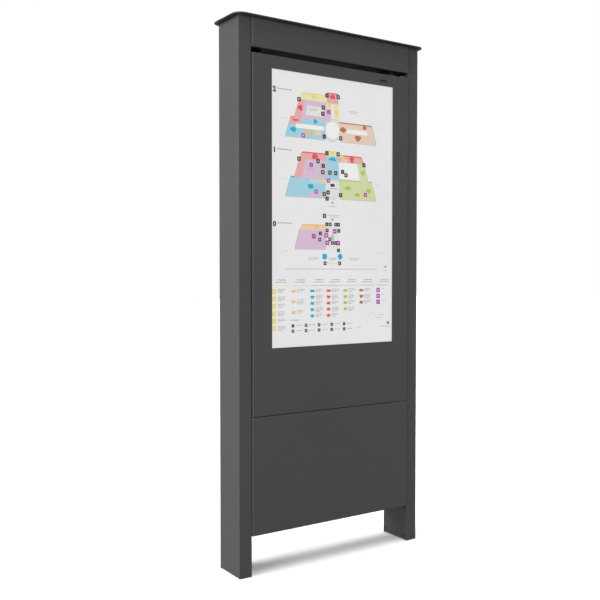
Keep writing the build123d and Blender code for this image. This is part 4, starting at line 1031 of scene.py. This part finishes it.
# ---- finer pieces in place of plain ones ----
def fan_blade(mesh, centre, middle, index):
    """One swept blade, twisted flatter and made wider towards its tip."""
    rows = []
    for span in range(BLADE_SPANS + 1):
        share = span / BLADE_SPANS
        radius = BLADE_ROOT_RADIUS + share * (BLADE_TIP_RADIUS - BLADE_ROOT_RADIUS)
        pitch = math.radians(BLADE_ROOT_PITCH - BLADE_TWIST * share)
        chord = BLADE_ROOT_CHORD + BLADE_FLARE * share
        start = index / FAN_BLADES + BLADE_SWEEP * share * share
        upper, lower = [], []
        for step in range(BLADE_SPANS + 1):
            along = step / BLADE_SPANS - 0.5
            arch = 1 - 4 * along * along
            turn = start + along * chord * math.cos(pitch) / (2 * math.pi * radius)
            x, y = turned(centre.x, centre.y, radius, radius, turn)
            z = middle + along * chord * math.sin(pitch) + BLADE_CAMBER * arch
            half = (BLADE_EDGE + (BLADE_BELLY - BLADE_EDGE) * arch) / 2
            upper.append((x, y, z + half))
            lower.append((x, y, z - half))
        rows.append(upper + lower[::-1])
    closed_skin(mesh, rows)


def fan_rotor(node, finishes):
    """A fan's cup, shaft and blades."""
    low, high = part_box(node)
    centre = (low + high) / 2
    cup_low, cup_high = low.z + FAN_CUP_LIFT, high.z
    cup_inner = FAN_CUP_RADIUS - FAN_WALL
    profile = [
        (FAN_SHAFT_RADIUS, low.z),
        (FAN_SHAFT_RADIUS, cup_high - FAN_WALL),
        (cup_inner, cup_high - FAN_WALL),
        (cup_inner, cup_low),
        (FAN_CUP_RADIUS, cup_low),
        (FAN_CUP_RADIUS, cup_high - FAN_CUP_ROUND),
        (FAN_CUP_RADIUS - FAN_CUP_SHOULDER[0], cup_high - FAN_CUP_SHOULDER[1]),
        (FAN_CUP_RADIUS - FAN_CUP_ROUND, cup_high),
    ]
    mesh = bmesh.new()
    closed_skin(mesh, rings(centre.x, centre.y, profile, 48))
    for index in range(FAN_BLADES):
        fan_blade(mesh, centre, (cup_low + cup_high) / 2, index)
    body = BODY_OF_ROTOR[node]
    piece = new_piece(node + "_blades", mesh, body, finishes["black_plastic"])
    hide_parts(node)


def pleated_mat(finishes):
    """The intake filter as a pleated mat, folded from one sheet."""
    low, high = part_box("filter_mat")
    pleats = round((high.x - low.x) / PLEAT_PITCH)
    steps = pleats * PLEAT_STEPS
    middle = (low.y + high.y) / 2
    swing = (high.y - low.y) / 2 - MAT_THICKNESS
    rows = []
    for level in range(MAT_LEVELS + 1):
        z = low.z + (high.z - low.z) * level / MAT_LEVELS
        near, far = [], []
        for step in range(steps + 1):
            x = low.x + (high.x - low.x) * step / steps
            wave = math.cos(2 * math.pi * pleats * step / steps)
            wander = MAT_WANDER * math.sin(5 * z / PLEAT_PITCH + step)
            y = middle + swing * wave * (1.25 - 0.25 * wave * wave) + wander
            near.append((x, y - MAT_THICKNESS / 2, z))
            far.append((x, y + MAT_THICKNESS / 2, z))
        rows.append(near + far[::-1])
    mesh = bmesh.new()
    closed_skin(mesh, rows)
    mat = new_piece("pleated_filter", mesh, "rear_door", finishes["filter_fibre"])
    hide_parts("filter_mat")


def box_part(mesh, centre, size, taper=0.0):
    """A small box on a board, narrower at its outer face by taper."""
    x, y, z = centre
    wide, deep, tall = (part / 2 for part in size)
    rows = []
    for side, shrink in ((-1, 0.0), (1, taper)):
        u, w = wide - shrink, tall - shrink
        corners = ((-u, -w), (u, -w), (u, w), (-u, w))
        rows.append([(x + across, y + side * deep, z + up) for across, up in corners])
    closed_skin(mesh, rows)


def board_parts(node, prefix, finishes):
    """Rows of small packages, plugs with their pins, and a screw in each corner of a board."""
    low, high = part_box(node)
    centre = (low + high) / 2
    face = low.y + BOARD_THICKNESS
    wide, tall = high.x - low.x, high.z - low.z
    packages, plugs, metal = bmesh.new(), bmesh.new(), bmesh.new()
    count = int(wide / PACKAGE_PITCH)
    for share in PACKAGE_ROWS:
        for index in range(count):
            x = low.x + (index + 0.5 + RANDOM.uniform(-0.2, 0.2)) * wide / count
            if RANDOM.random() < PACKAGES_FITTED:
                place = (x, face + PACKAGE_MIDDLE, low.z + tall * share)
                box_part(packages, place, PACKAGE_SIZE, PACKAGE_TAPER)
    for share in PLUG_COLUMNS:
        x = low.x + wide * share
        box_part(plugs, (x, face + PLUG_MIDDLE, low.z + PLUG_INSET), PLUG_SIZE, PLUG_TAPER)
        for pin in range(PINS):
            at = x + (pin - (PINS - 1) / 2) * PIN_PITCH
            box_part(metal, (at, face + PIN_MIDDLE, low.z + PIN_INSET), PIN_SIZE)
    for side_x in (-1, 1):
        for side_z in (-1, 1):
            x = centre.x + side_x * (wide / 2 - SCREW_INSET)
            z = centre.z + side_z * (tall / 2 - SCREW_INSET)
            screw = rings(x, z, SCREW_PROFILE, 20)
            closed_skin(metal, [[(u, face + depth, w) for u, w, depth in ring] for ring in screw])
    for part, mesh, slot_name in (
        ("_packages", packages, "black_plastic"),
        ("_plugs", plugs, "grey_plastic"),
        ("_pins_and_screws", metal, "stainless"),
    ):
        new_piece(prefix + part, mesh, "front_door", finishes[slot_name])


def soften_edges():
    """Takes the knife edge off the pieces that are cut, folded or moulded square."""
    for name in SOFTENED:
        piece = frame["nodes"][name]
        weld = piece.modifiers.new("weld", "WELD")
        weld.merge_threshold = 0.01 * MM
        bevel = piece.modifiers.new("bevel", "BEVEL")
        bevel.width = SOFT_EDGE
        bevel.segments = 2
        bevel.limit_method = "ANGLE"
        bevel.angle_limit = math.radians(SOFT_EDGE_ANGLE)


make_camera()
make_sky()
make_lights()
make_floor()
finishes = make_finishes()
dress_cad(finishes)
soften_edges()
make_page()
for rotor in BODY_OF_ROTOR:
    fan_rotor(rotor, finishes)
pleated_mat(finishes)
board_parts("touch_controller_board", "touch_board", finishes)
board_parts("display_driver_board", "driver_board", finishes)

bpy.context.scene.view_settings.view_transform = "Standard"
